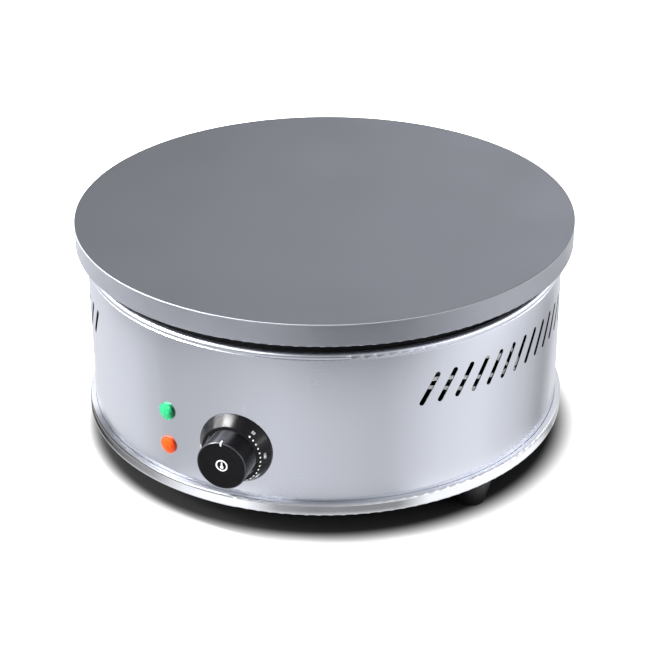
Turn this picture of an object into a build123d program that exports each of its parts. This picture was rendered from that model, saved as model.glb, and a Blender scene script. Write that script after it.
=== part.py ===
from build123d import *
import math
import os

# An electric crepe maker: a cast iron plate on a sheet steel drum, in millimetres.
# The origin is on the table under the plate's centre, +Z is up and the controls face -Y.
# A bearing is an angle round the drum in degrees: 0 at the front, 90 on the right (+X).

# ---- plate ----
plate_radius = 200.0
plate_rim = 18.3            # height of the rim
plate_web = 10.0            # thickness inside the rim
plate_rim_width = 12.0
plate_rim_slope = 3.0
plate_edge_chamfer = 0.7
plate_edge_round = 1.0
boss_radius = 12.0
boss_depth = 6.0            # below the web
boss_hole_depth = 10.0
hub_radius = 18.0
hub_depth = 8.0
hub_hole_depth = 12.0
ridge_outset = 13.0         # ring cast outside the heating element
ridge_width = 4.0
ridge_depth = 3.0

# ---- drum ----
plate_overhang = 8.6        # how far the plate stands out past the drum
drum_height = 135.1
drum_sheet = 0.8
drum_bend = 1.5             # inside radius of the bottom flange
drum_flange = 21.0
bead_radius = 3.0           # rolled top edge
bead_proud = 0.2
bead_curl = 225.0           # where the curl ends, in degrees
groove_depth = 0.5          # crease under the rolled edge
groove_height = 0.6
plate_gap = 10.5            # open height between the drum and the plate

# ---- vents in the drum ----
vent_length = 24.9          # between the end centres
vent_width = 4.3
vent_lean = 30.5            # from the vertical
vent_height = 121.0
vent_pitch = 4.53           # degrees
vent_count = 20             # in each of the two rows
vent_first = 44.3           # bearing of the first one

# ---- base pan and feet ----
foot_height = 23.1
foot_top_radius = 17.2
foot_bottom_radius = 11.0
foot_edge_round = 1.5
foot_bore_gap = 1.0         # round the screw's head, in its recess
foot_bore_depth = 12.0
foot_inset = 13.4           # of a foot's axis, inside the drum
support_count = 3           # feet and plate supports, in line above each other
support_bearing = 60.0
pan_ledge = 4.9             # how far the pan stands out past the drum
pan_height = 10.4
pan_sheet = 1.0
pan_corner = 1.3
pan_lip_corner = 1.8
pan_lip_gap = 0.25          # round the drum
pan_step_inset = 30.0       # raised middle, inside the terminal block
pan_step_height = 3.0
pan_step_slope = 6.0
pan_vent_count = 12
pan_vent_inset = 34.0       # middle of the slots, inside the step
pan_vent_length = 36.0
pan_vent_width = 3.6

# ---- fasteners ----
bolt_gap = 0.5              # round a shank, in the hole that it passes
seat_gap = 0.1              # round a shank, in the washer or foot that it holds
m3_radius, m3_head_radius, m3_head = 1.5, 2.8, 2.0
m4_radius, m4_head_radius, m4_head, m4_nut, m4_flats = 2.0, 3.8, 2.5, 3.2, 7.0
m5_radius, m5_head_radius, m5_head, m5_nut, m5_flats = 2.5, 4.6, 3.2, 4.0, 8.0
m8_radius, m8_head, m8_flats, m8_washer_radius = 4.0, 5.3, 13.0, 8.0
m10_radius, m10_nut, m10_flats = 5.0, 8.0, 17.0
washer_sheet = 1.2
foot_screw_length = 22.0
pan_screw_length = 9.0
pan_screw_inset = 11.4      # inside the drum
rivet_radius, rivet_head_radius, rivet_head = 1.6, 3.2, 0.9

# ---- plate supports ----
support_inset = 17.0        # of a bolt's axis, inside the heat shield
bracket_width = 36.0
bracket_sheet = 2.0
bracket_leg = 13.0
bracket_bend = 2.0
bracket_reach = 14.0        # past the bolt, towards the middle
sleeve_radius = 7.0
bolt_end_gap = 0.2          # under the end of its hole

# ---- heat shield and insulation ----
shield_gap = 7.6            # inside the drum
shield_sheet = 0.8
shield_bend = 3.0
shield_height = 22.0
shield_drop = 19.7          # its underside below the plate's rim
pad_rib_gap = 0.7           # under the clamp's ribs
pad_gap = 1.0               # inside the shield's wall
pad_hub_hole = 16.0
pad_sleeve_gap = 0.8

# ---- heating element ----
tube_radius = 4.25
loop_inset = 26.0           # of the outer loop, inside the plate bolts
loop_spacing = 48.0
loop_start = 38.0           # bearing of the outer loop's end
loop_outer_turn = 330.0
loop_inner_turn = 320.0
tail_bend = 12.0
tail_drop = 6.0             # of the sheath's end, below the heat shield
pin_radius = 1.8
pin_length = 8.0
bush_wall = 2.75
bush_lip = 3.0
bush_flange = 3.0
bush_length = 10.0
bush_gap = 0.05

# ---- element clamp ----
clamp_hub = 30.0
clamp_arm_width = 22.0
clamp_outset = 12.0         # past the outer loop
clamp_sheet = 2.5
clamp_rib_width = 5.0
clamp_rib_depth = 3.5
clamp_bearing = 0.0
stud_length = 44.0

# ---- thermostat, its bulb and its capillary ----
knob_height = 74.0
body_width = 36.0
body_depth = 30.0
body_round = 4.0
strap_width = 16.0
strap_length = 46.0
strap_sheet = 1.5
screw_spacing = 28.0
screw_grip = 4.4            # shank length under the head
shaft_radius = 3.0
shaft_gap = 0.05            # running fit in the body
shaft_end_gap = 0.3
shaft_seat = 11.0           # length inside the body
shaft_reach = 23.0          # its end, out from the drum
shaft_flat_depth = 1.5
shaft_hole = 6.0            # in the drum
tab_width, tab_sheet, tab_length = 6.3, 0.8, 8.0
tab_spread, tab_rise = 10.0, 9.0
bulb_radius = 3.0
bulb_length = 80.0
bulb_inset = 4.0            # inside the middle between the loops
bulb_bearing = -30.0
saddle_width = 14.0
saddle_sheet = 1.0
saddle_foot = 9.0
capillary_radius = 1.0
capillary_height = 14.0     # above the knob's axis, where it enters the body
capillary_run = 14.0        # straight at its ends

# ---- knob and dial ----
knob_radius = 19.75
knob_draft = 0.55
knob_reach = 27.9           # front face, out from the drum
knob_rear = 6.2             # rear edge, out from the drum
knob_round = 1.2
knob_wall = 2.2
knob_rim_width = 3.25       # flat rim round the dish
knob_dish_depth = 0.7
knob_hub_radius = 5.5
knob_bore_gap = 0.02
knob_rib = 1.4
clip_sheet = 0.5
dial_flare = 5.8            # its foot is wider than its front by this
dial_lip = 2.6
dial_foot = 0.6             # where its cone starts, out from the drum
dial_front = 10.6           # its front edge, out from the drum
dial_wall = 2.0
dial_edge_round = 0.8
dial_mouth_gap = 0.85       # round the knob
dial_floor_gap = 0.6        # behind the knob
dial_floor_sheet = 1.6
peg_radius = 2.0
peg_inset = 6.5             # inside the dial's foot
peg_length = 6.0
peg_gap = 0.1
peg_clip_width = 2.0
peg_clip_sheet = 0.5

# ---- pilot lamps ----
lamp_bearing = -18.2
lamp_height = 73.6          # middle of the pair
lamp_spacing = 29.6
lens_radius = 7.0
lens_flange = 1.4
lens_ledge = 1.0            # past its dome and past the lamp's body
lens_dome = 2.0
lamp_body_length = 26.0
lamp_hole_gap = 0.1
lamp_clip_width = 3.0
lamp_clip_sheet = 1.2

# ---- cord gland ----
gland_height = 60.0
gland_reach = 27.9
gland_bore = 5.0
gland_thread = 10.0
gland_wall = 2.0            # from the thread to the flats
gland_collar = 7.0
gland_spigot = 6.0          # thread inside the dome nut
gland_tail = 13.0           # thread inside the drum
gland_nut_hex = 9.0
gland_mouth_radius = 8.0
gland_locknut_height = 5.0
gland_hole_gap = 0.3
gland_thread_gap = 0.05

# ---- terminals and leads ----
block_width, block_height = 22.0, 18.0
block_end = 1.0             # past the outer poles' share
block_inset = 48.6          # of its middle, inside the drum's wall
block_step = 5.0
pole_pitch = 16.0
pole_count = 4
pole_hole_depth = 6.0
pole_height = 8.0           # of the wire holes, above the pan
lead_radius = 1.4
lead_gap = 0.05
wall_gap = 8.0              # where a lead runs along the drum's wall
lamp_terminal = 3.0         # each side of a lamp's axis
earth_bearing = -150.0
earth_outset = 8.0          # past the terminal block's middle
earth_length = 18.0
earth_nut_rise = 3.0

# ---- seam ----
seam_bearing = 152.0
seam_gap = 0.4
seam_strap_width = 18.0
seam_strap_sheet = 0.8
seam_rivet_rows = 4

# ---- heights and places that follow ----
pan_top = foot_height + pan_sheet
drum_top = pan_top + drum_height
plate_bottom = drum_top + plate_gap
plate_top = plate_bottom + plate_rim
web_bottom = plate_top - plate_web
boss_bottom = web_bottom - boss_depth
hub_bottom = web_bottom - hub_depth
flange_top = pan_top + drum_sheet
shield_bottom = plate_bottom - shield_drop
shield_floor = shield_bottom + shield_sheet
tail_end = shield_bottom - tail_drop
tube_height = web_bottom - tube_radius
clamp_top = tube_height - tube_radius
clamp_bottom = clamp_top - clamp_sheet
pad_top = clamp_bottom - clamp_rib_depth - pad_rib_gap
bracket_bottom = shield_bottom - bracket_sheet

# ---- circles, from the plate's rim inwards ----
drum_radius = plate_radius - plate_overhang
drum_inner = drum_radius - drum_sheet
flange_inner = drum_radius - drum_flange
pan_radius = drum_radius + pan_ledge
foot_circle = drum_radius - foot_inset
pan_screw_circle = drum_radius - pan_screw_inset
shield_radius = drum_inner - shield_gap
support_circle = shield_radius - support_inset
loop_outer = support_circle - loop_inset
loop_inner = loop_outer - loop_spacing
ridge_radius = loop_outer + ridge_outset
clamp_reach = loop_outer + clamp_outset
bulb_circle = (loop_outer + loop_inner) / 2 - bulb_inset
block_circle = drum_inner - block_inset
earth_circle = block_circle + earth_outset
pan_step_radius = block_circle - pan_step_inset
pan_vent_circle = pan_step_radius - pan_vent_inset

# ---- the controls, from the knob outwards ----
knob_front = drum_radius + knob_reach
knob_back = drum_radius + knob_rear
knob_rear_radius = knob_radius - knob_draft
knob_dish_radius = knob_radius - knob_rim_width
dial_mouth_radius = knob_radius + dial_mouth_gap
dial_front_radius = dial_mouth_radius + dial_lip
dial_radius = dial_front_radius + dial_flare
dial_floor = knob_back - dial_floor_gap
peg_spread = dial_radius - peg_inset
peg_clip_radius = peg_radius + peg_clip_width
lamp_body_radius = lens_radius - lens_ledge
lamp_clip_radius = lamp_body_radius + lamp_clip_width

# ---- other sizes that follow ----
support_start = support_bearing - 90
bush_radius = tube_radius + bush_wall
bush_flange_radius = bush_radius + bush_lip
foot_bore_radius = m5_head_radius + foot_bore_gap
gland_flats = 2 * (gland_thread + gland_wall)
block_length = pole_count * pole_pitch + 2 * block_end


def around(bearing, radius, height):
    angle = math.radians(bearing)
    return Vector(radius * math.sin(angle), -radius * math.cos(angle), height)


# A plane that faces out of the drum, x to the right seen from outside, y up.
def facing(bearing, radius, height):
    angle = math.radians(bearing)
    return Plane(
        origin=around(bearing, radius, height),
        x_dir=(math.cos(angle), math.sin(angle), 0),
        z_dir=(math.sin(angle), -math.cos(angle), 0),
    )


# A level plane through a line that leaves the drum's axis, x across the line, y outwards.
def lengthwise(bearing, height):
    angle = math.radians(bearing)
    return Plane(
        origin=(0, 0, height),
        x_dir=(math.cos(angle), math.sin(angle), 0),
        z_dir=(0, 0, -1),
    )


def outward(bearing, height):
    return Axis((0, 0, height), around(bearing, 1, 0))


# Where a flat piece of this half width lies against a cylinder from inside.
def flat_inside(radius, half_width):
    return math.sqrt(radius**2 - half_width**2)


# A place inside the drum: its distance from the wall and its height above the pan.
def within(bearing, inset, rise):
    return around(bearing, drum_inner - inset, pan_top + rise)


def hexagon_radius(flats):
    return flats / math.sqrt(3)


def write(piece, name):
    piece.part.label = name
    export_step(piece.part, f"parts/{name}.step")


# The bend at each corner of a lead: as wide as its two runs allow.
def bend_radii(points, share=0.45):
    radii = []
    for before, corner, after in zip(points, points[1:], points[2:]):
        turn = math.radians((corner - before).get_angle(after - corner))
        run = min((corner - before).length, (after - corner).length)
        radii.append(share * run / math.tan(turn / 2))
    return radii


def run_leads(routes, radius):
    with BuildPart() as leads:
        for points in routes:
            with BuildLine() as route:
                FilletPolyline(*points, radius=bend_radii(points))
            with BuildSketch(Plane(origin=route.line @ 0, z_dir=route.line % 0)):
                Circle(radius)
            sweep()
    return leads


os.makedirs("parts", exist_ok=True)


# ---------------------------------------------------------------- plate
bulb_place = facing(bulb_bearing, bulb_circle, web_bottom)
saddle_screw_out = bulb_radius + saddle_sheet + saddle_foot / 2

with BuildPart() as hotplate:
    with BuildSketch(Plane.XZ):
        with BuildLine():
            Polyline(
                (0, plate_top),
                (plate_radius, plate_top),
                (plate_radius, plate_bottom),
                (plate_radius - plate_rim_width, plate_bottom),
                (plate_radius - plate_rim_width - plate_rim_slope, web_bottom),
                (0, web_bottom),
                close=True,
            )
        make_face()
    revolve(axis=Axis.Z)
    rim = hotplate.edges().filter_by(GeomType.CIRCLE).filter_by(lambda edge: edge.radius == plate_radius)
    chamfer(rim.sort_by(Axis.Z)[-1], plate_edge_chamfer)
    rim = hotplate.edges().filter_by(GeomType.CIRCLE).filter_by(lambda edge: edge.radius == plate_radius)
    fillet(rim.sort_by(Axis.Z)[0], plate_edge_round)
    with BuildSketch(Plane.XY.offset(boss_bottom)):
        with PolarLocations(support_circle, support_count, start_angle=support_start):
            Circle(boss_radius)
    extrude(until=Until.NEXT)
    with BuildSketch(Plane.XY.offset(hub_bottom)):
        Circle(hub_radius)
    extrude(until=Until.NEXT)
    with BuildSketch(Plane.XY.offset(web_bottom - ridge_depth)):
        Circle(ridge_radius)
        Circle(ridge_radius - ridge_width, mode=Mode.SUBTRACT)
    extrude(amount=ridge_depth)
    with BuildSketch(Plane.XY.offset(boss_bottom)):
        with PolarLocations(support_circle, support_count, start_angle=support_start):
            Circle(m8_radius)
    extrude(amount=boss_hole_depth, mode=Mode.SUBTRACT)
    with BuildSketch(Plane.XY.offset(hub_bottom)):
        Circle(m10_radius)
    extrude(amount=hub_hole_depth, mode=Mode.SUBTRACT)
    with BuildSketch(Plane(bulb_place.origin, x_dir=bulb_place.x_dir, z_dir=(0, 0, 1))):
        with Locations((0, saddle_screw_out), (0, -saddle_screw_out)):
            Circle(m4_radius)
    extrude(amount=plate_web / 2, mode=Mode.SUBTRACT)
write(hotplate, "hotplate")


# ---------------------------------------------------------------- heating element
def element_ends():
    outer = around(loop_start, loop_outer, tube_height)
    inner_bearing = loop_start + loop_outer_turn - loop_inner_turn
    inner = around(inner_bearing, loop_inner, tube_height)
    out_tangent = around(loop_start + 90, 1, 0)
    in_tangent = around(inner_bearing - 90, 1, 0)
    return (outer, out_tangent * -1), (inner, in_tangent)


tails = []
with BuildPart() as heating_element:
    loop_gap = (loop_outer - loop_inner) / 2
    turn_bearing = loop_start + loop_outer_turn
    with BuildLine() as loops:
        CenterArc((0, 0, tube_height), loop_outer, loop_start - 90, loop_outer_turn)
        CenterArc(
            around(turn_bearing, loop_outer - loop_gap, tube_height),
            loop_gap,
            turn_bearing - 90,
            180,
        )
        CenterArc((0, 0, tube_height), loop_inner, turn_bearing - 90, -loop_inner_turn)
    (start, back), _ = element_ends()
    with BuildSketch(Plane(origin=start, z_dir=back)):
        Circle(tube_radius)
    sweep(path=loops.line)
    for end, heading in element_ends():
        drop_at = end + heading * tail_bend
        with BuildLine() as tail:
            bend = ThreePointArc(
                end,
                end + heading * tail_bend * math.sin(math.pi / 4)
                + Vector(0, 0, -tail_bend * (1 - math.cos(math.pi / 4))),
                drop_at + Vector(0, 0, -tail_bend),
            )
            Line(bend @ 1, (drop_at.X, drop_at.Y, tail_end))
        with BuildSketch(Plane(origin=end, z_dir=heading)):
            Circle(tube_radius)
        sweep(path=tail.line)
        with BuildSketch(Plane.XY.offset(tail_end)):
            with Locations((drop_at.X, drop_at.Y)):
                Circle(pin_radius)
        extrude(amount=-pin_length)
        tails.append((drop_at.X, drop_at.Y))
write(heating_element, "heating_element")

with BuildPart() as element_insulators:
    with BuildSketch(Plane.XY.offset(shield_floor)):
        with Locations(*tails):
            Circle(bush_flange_radius)
    extrude(amount=bush_flange)
    chamfer(element_insulators.faces().sort_by(Axis.Z)[-2:].edges(), bush_flange / 4)
    with BuildSketch(Plane.XY.offset(shield_floor)):
        with Locations(*tails):
            Circle(bush_radius)
    extrude(amount=-(bush_length - bush_flange))
    with BuildSketch(Plane.XY.offset(shield_floor + bush_flange)):
        with Locations(*tails):
            Circle(tube_radius + bush_gap)
    extrude(amount=-bush_length, mode=Mode.SUBTRACT)
write(element_insulators, "element_insulators")


# ---------------------------------------------------------------- element clamp
with BuildPart() as element_clamp:
    with BuildSketch(Plane.XY.offset(clamp_bottom)):
        Circle(clamp_hub)
        with PolarLocations(clamp_reach / 2, support_count, start_angle=clamp_bearing - 90):
            SlotOverall(clamp_reach, clamp_arm_width)
        Circle(m10_radius + bolt_gap, mode=Mode.SUBTRACT)
    extrude(amount=clamp_sheet)
    with BuildSketch(Plane.XY.offset(clamp_bottom)):
        rib_start = hexagon_radius(m10_flats) + bolt_gap
        rib_end = loop_outer
        rib_middle = (rib_start + rib_end) / 2
        with PolarLocations(rib_middle, support_count, start_angle=clamp_bearing - 90):
            Rectangle(rib_end - rib_start, clamp_rib_width)
    extrude(amount=-clamp_rib_depth)
write(element_clamp, "element_clamp")

with BuildPart() as clamp_stud:
    with BuildSketch(Plane.XY.offset(hub_bottom + hub_hole_depth)):
        Circle(m10_radius)
    extrude(amount=-stud_length)
    chamfer(clamp_stud.faces().sort_by(Axis.Z)[0].edges(), m10_radius / 6)
write(clamp_stud, "clamp_stud")

with BuildPart() as clamp_nuts:
    for seat in (clamp_bottom, shield_bottom):
        with BuildSketch(Plane.XY.offset(seat)):
            RegularPolygon(hexagon_radius(m10_flats), 6)
            Circle(m10_radius, mode=Mode.SUBTRACT)
        extrude(amount=-m10_nut)
write(clamp_nuts, "clamp_nuts")


# ---------------------------------------------------------------- bulb and capillary
# The bulb lies across its own bearing, against the plate's web.
bulb_end = facing(bulb_bearing, bulb_circle, web_bottom - bulb_radius)
capillary_start = bulb_end.origin - bulb_end.x_dir * bulb_length / 2

with BuildPart() as thermostat_bulb:
    across = Plane(origin=capillary_start, z_dir=bulb_end.x_dir)
    with BuildSketch(across):
        Circle(bulb_radius)
    extrude(amount=bulb_length)
    chamfer(thermostat_bulb.edges(), bulb_radius / 3)
write(thermostat_bulb, "thermostat_bulb")

saddle_plane = Plane(
    origin=bulb_end.origin + bulb_end.x_dir * saddle_width / 2,
    x_dir=bulb_end.z_dir,
    z_dir=bulb_end.x_dir * -1,
)
with BuildPart() as bulb_clip:
    with BuildSketch(saddle_plane):
        Circle(bulb_radius + saddle_sheet)
        with Locations((0, bulb_radius - saddle_sheet / 2)):
            Rectangle(2 * (bulb_radius + saddle_sheet + saddle_foot), saddle_sheet)
        with Locations((0, bulb_radius / 2)):
            Rectangle(2 * (bulb_radius + saddle_sheet), bulb_radius)
        Circle(bulb_radius, mode=Mode.SUBTRACT)
        with Locations((0, bulb_radius)):
            Rectangle(2 * bulb_radius, 2 * bulb_radius, mode=Mode.SUBTRACT)
        with Locations((0, bulb_radius + saddle_foot)):
            Rectangle(4 * saddle_foot, 2 * saddle_foot, mode=Mode.SUBTRACT)
    extrude(amount=saddle_width)
    with BuildSketch(Plane(bulb_place.origin, x_dir=bulb_place.x_dir, z_dir=(0, 0, 1))):
        with Locations((0, saddle_screw_out), (0, -saddle_screw_out)):
            Circle(m4_radius)
    extrude(amount=-2 * saddle_sheet, mode=Mode.SUBTRACT)
write(bulb_clip, "bulb_clip")

with BuildPart() as bulb_clip_screws:
    foot_plane = Plane(
        origin=bulb_place.origin - Vector(0, 0, saddle_sheet),
        x_dir=bulb_place.x_dir,
        z_dir=(0, 0, -1),
    )
    with BuildSketch(foot_plane):
        with Locations((0, saddle_screw_out), (0, -saddle_screw_out)):
            Circle(m4_head_radius)
    extrude(amount=m4_head)
    with BuildSketch(foot_plane):
        with Locations((0, saddle_screw_out), (0, -saddle_screw_out)):
            Circle(m4_radius)
    extrude(amount=-(saddle_sheet + plate_web / 3))
write(bulb_clip_screws, "bulb_clip_screws")

capillary_drop = capillary_start - bulb_end.x_dir * capillary_run
body_back = flat_inside(drum_inner, strap_width / 2) - strap_sheet - body_depth
capillary_end = around(0, body_back, knob_height + capillary_height)
capillary_route = [
    capillary_start,
    capillary_drop,
    Vector(capillary_drop.X, capillary_drop.Y, shield_bottom - capillary_run),
    within(-28, 63, 94),
    within(-8, 67, 72),
    capillary_end + Vector(0, capillary_run, 0),
    capillary_end,
]
write(run_leads([capillary_route], capillary_radius), "capillary_tube")


# ---------------------------------------------------------------- insulation and heat shield
with BuildPart() as insulation_pad:
    with BuildSketch(Plane.XY.offset(shield_floor)):
        Circle(shield_radius - shield_sheet - shield_bend - pad_gap)
        Circle(pad_hub_hole, mode=Mode.SUBTRACT)
        with PolarLocations(support_circle, support_count, start_angle=support_start):
            Circle(sleeve_radius + pad_sleeve_gap, mode=Mode.SUBTRACT)
        with Locations(*tails):
            Circle(bush_flange_radius + pad_sleeve_gap, mode=Mode.SUBTRACT)
        with Locations((capillary_drop.X, capillary_drop.Y)):
            Circle(3 * capillary_radius, mode=Mode.SUBTRACT)
    extrude(amount=pad_top - shield_floor)
write(insulation_pad, "insulation_pad")

with BuildPart() as heat_shield:
    with BuildSketch(Plane.XZ):
        with BuildLine():
            outer_bend = shield_bend + shield_sheet
            wall_in = shield_radius - shield_sheet
            corner = shield_radius - outer_bend
            Line((0, shield_bottom), (corner, shield_bottom))
            CenterArc((corner, shield_bottom + outer_bend), outer_bend, -90, 90)
            Polyline(
                (shield_radius, shield_bottom + outer_bend),
                (shield_radius, shield_bottom + shield_height),
                (wall_in, shield_bottom + shield_height),
                (wall_in, shield_bottom + outer_bend),
            )
            CenterArc((corner, shield_bottom + outer_bend), shield_bend, -90, 90)
            Polyline((corner, shield_floor), (0, shield_floor), (0, shield_bottom))
        make_face()
    revolve(axis=Axis.Z)
    with BuildSketch(Plane.XY.offset(shield_bottom)):
        Circle(m10_radius + bolt_gap)
        with PolarLocations(support_circle, support_count, start_angle=support_start):
            Circle(m8_radius + bolt_gap)
        with Locations(*tails):
            Circle(bush_radius)
        with Locations((capillary_drop.X, capillary_drop.Y)):
            Circle(2 * capillary_radius)
    extrude(amount=shield_sheet, mode=Mode.SUBTRACT)
write(heat_shield, "heat_shield")


# ---------------------------------------------------------------- plate supports
def make_bracket(bearing):
    spread = math.degrees(bracket_width / drum_inner)
    inner = support_circle - bracket_reach
    outer_bend = bracket_bend + bracket_sheet
    middle = drum_inner - outer_bend
    leg_end = shield_bottom - bracket_leg
    with BuildPart() as bracket:
        with BuildSketch(facing(bearing - spread / 2 + 90, 0, 0)):
            with BuildLine():
                Line((-inner, shield_bottom), (-middle, shield_bottom))
                CenterArc((-middle, shield_bottom - outer_bend), outer_bend, 90, 90)
                Polyline(
                    (-drum_inner, shield_bottom - outer_bend),
                    (-drum_inner, leg_end),
                    (-(drum_inner - bracket_sheet), leg_end),
                    (-(drum_inner - bracket_sheet), shield_bottom - outer_bend),
                )
                CenterArc((-middle, shield_bottom - outer_bend), bracket_bend, 90, 90)
                Polyline((-middle, bracket_bottom), (-inner, bracket_bottom), (-inner, shield_bottom))
            make_face()
        revolve(axis=Axis.Z, revolution_arc=spread)
        at = around(bearing, support_circle, 0)
        with BuildSketch(Plane.XY.offset(bracket_bottom)):
            with Locations((at.X, at.Y)):
                Circle(m8_radius + bolt_gap)
        extrude(amount=bracket_sheet, mode=Mode.SUBTRACT)
    return bracket


for side, bearing in (("right", support_bearing), ("rear", 180), ("left", -support_bearing)):
    write(make_bracket(bearing), f"support_bracket_{side}")

with BuildPart() as support_sleeves:
    with BuildSketch(Plane.XY.offset(shield_floor)):
        with PolarLocations(support_circle, support_count, start_angle=support_start):
            Circle(sleeve_radius)
            Circle(m8_radius + bolt_gap, mode=Mode.SUBTRACT)
    extrude(amount=boss_bottom - shield_floor)
write(support_sleeves, "support_sleeves")

with BuildPart() as plate_washers:
    with BuildSketch(Plane.XY.offset(bracket_bottom - washer_sheet)):
        with PolarLocations(support_circle, support_count, start_angle=support_start):
            Circle(m8_washer_radius)
            Circle(m8_radius + seat_gap, mode=Mode.SUBTRACT)
    extrude(amount=washer_sheet)
write(plate_washers, "plate_washers")

with BuildPart() as plate_bolts:
    head_top = bracket_bottom - washer_sheet
    with BuildSketch(Plane.XY.offset(head_top)):
        with PolarLocations(support_circle, support_count, start_angle=support_start):
            RegularPolygon(hexagon_radius(m8_flats), 6)
    extrude(amount=-m8_head)
    with BuildSketch(Plane.XY.offset(head_top)):
        with PolarLocations(support_circle, support_count, start_angle=support_start):
            Circle(m8_radius)
    extrude(amount=boss_bottom + boss_hole_depth - bolt_end_gap - head_top)
write(plate_bolts, "plate_bolts")


# ---------------------------------------------------------------- drum
bead_centre = (drum_radius + bead_proud - bead_radius, drum_top - bead_radius)
bead_inner = bead_radius - drum_sheet
outside_start = -math.degrees(math.acos((drum_radius - groove_depth - bead_centre[0]) / bead_radius))
inside_start = -math.degrees(math.acos((drum_inner - groove_depth - bead_centre[0]) / bead_inner))

rivet_across = seam_strap_width / 4
rivet_rises = [drum_height * (row + 0.5) / seam_rivet_rows for row in range(seam_rivet_rows)]
rivet_places = [(across, rise) for rise in rivet_rises for across in (rivet_across, -rivet_across)]

with BuildPart() as drum_shell:
    with BuildSketch(Plane.XZ):
        outer_bend = drum_bend + drum_sheet
        corner = (drum_radius - outer_bend, pan_top + outer_bend)
        with BuildLine():
            outside = CenterArc(bead_centre, bead_radius, outside_start, bead_curl - outside_start)
            inside = CenterArc(bead_centre, bead_inner, inside_start, bead_curl - inside_start)
            Line(outside @ 1, inside @ 1)
            crease = (outside @ 0).Y - groove_height
            Polyline(outside @ 0, (drum_radius, crease), (drum_radius, corner[1]))
            Polyline(inside @ 0, (drum_inner, crease), (drum_inner, corner[1]))
            CenterArc(corner, outer_bend, -90, 90)
            CenterArc(corner, drum_bend, -90, 90)
            Polyline(
                (corner[0], pan_top),
                (flange_inner, pan_top),
                (flange_inner, flange_top),
                (corner[0], flange_top),
            )
        make_face()
    revolve(axis=Axis.Z)
    # Leaning vents in two rows, half a turn apart.
    for row_start in (vent_first, vent_first + 180):
        for number in range(vent_count):
            bearing = row_start + number * vent_pitch
            with BuildSketch(facing(bearing, drum_inner - vent_width, vent_height)):
                SlotCenterToCenter(vent_length, vent_width, rotation=90 - vent_lean)
            extrude(amount=2 * vent_width + drum_sheet, mode=Mode.SUBTRACT)
    # Thermostat shaft, its two screws and the dial's pegs.
    with BuildSketch(facing(0, drum_inner - bead_radius, knob_height)):
        Circle(shaft_hole)
        with Locations((0, screw_spacing / 2), (0, -screw_spacing / 2)):
            Circle(m4_radius + seat_gap)
        with Locations((peg_spread, 0), (-peg_spread, 0)):
            Circle(peg_radius + peg_gap)
    extrude(amount=2 * bead_radius, mode=Mode.SUBTRACT)
    # Pilot lamps.
    with BuildSketch(facing(lamp_bearing, drum_inner - bead_radius, lamp_height)):
        with Locations((0, lamp_spacing / 2), (0, -lamp_spacing / 2)):
            Circle(lamp_body_radius + lamp_hole_gap)
    extrude(amount=2 * bead_radius, mode=Mode.SUBTRACT)
    # Cord gland.
    with BuildSketch(facing(180, drum_inner - bead_radius, gland_height)):
        Circle(gland_thread + gland_hole_gap)
    extrude(amount=2 * bead_radius, mode=Mode.SUBTRACT)
    # Screws through the bottom flange.
    with BuildSketch(Plane.XY.offset(pan_top)):
        with PolarLocations(foot_circle, support_count, start_angle=support_start):
            Circle(m5_radius + seat_gap)
        with PolarLocations(pan_screw_circle, support_count, start_angle=-90):
            Circle(m4_radius + seat_gap)
    extrude(amount=drum_sheet, mode=Mode.SUBTRACT)
    # The butt seam, open through wall, flange and rolled edge.
    seam_in = flange_inner - drum_bend
    seam_out = drum_radius + bead_radius
    with BuildSketch(facing(seam_bearing, seam_in, (pan_top + drum_top) / 2)):
        Rectangle(seam_gap, drum_height + 2 * drum_sheet)
    extrude(amount=seam_out - seam_in, mode=Mode.SUBTRACT)
    # Rivets beside the seam.
    with BuildSketch(facing(seam_bearing, drum_inner - bead_radius, pan_top)):
        with Locations(*rivet_places):
            Circle(rivet_radius)
    extrude(amount=2 * bead_radius, mode=Mode.SUBTRACT)
write(drum_shell, "drum_shell")

# The strap behind the seam is rolled to the drum's inside.
strap_bottom = flange_top + drum_bend
strap_top = bead_centre[1] - bead_radius - groove_height
with BuildPart() as seam_strap:
    strap_turn = math.degrees(seam_strap_width / drum_inner)
    with BuildSketch(facing(seam_bearing - strap_turn / 2 + 90, 0, 0)):
        with Locations((-(drum_inner - seam_strap_sheet / 2), (strap_bottom + strap_top) / 2)):
            Rectangle(seam_strap_sheet, strap_top - strap_bottom)
    revolve(axis=Axis.Z, revolution_arc=strap_turn)
    with BuildSketch(facing(seam_bearing, drum_inner - bead_radius, pan_top)):
        with Locations(*rivet_places):
            Circle(rivet_radius)
    extrude(amount=2 * bead_radius, mode=Mode.SUBTRACT)
write(seam_strap, "seam_strap")

with BuildPart() as seam_rivets:
    with BuildSketch(facing(seam_bearing, drum_radius, pan_top)):
        with Locations(*rivet_places):
            Circle(rivet_head_radius)
    extrude(amount=rivet_head, taper=20)
    with BuildSketch(facing(seam_bearing, drum_radius, pan_top)):
        with Locations(*rivet_places):
            Circle(rivet_radius)
    extrude(amount=-(drum_sheet + seam_strap_sheet + rivet_head))
write(seam_rivets, "seam_rivets")


# ---------------------------------------------------------------- base pan
block_centre = around(180, block_circle, pan_top)
block_hole_spread = (pole_count * pole_pitch) / 4
earth_place = around(earth_bearing, earth_circle, pan_top)

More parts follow.
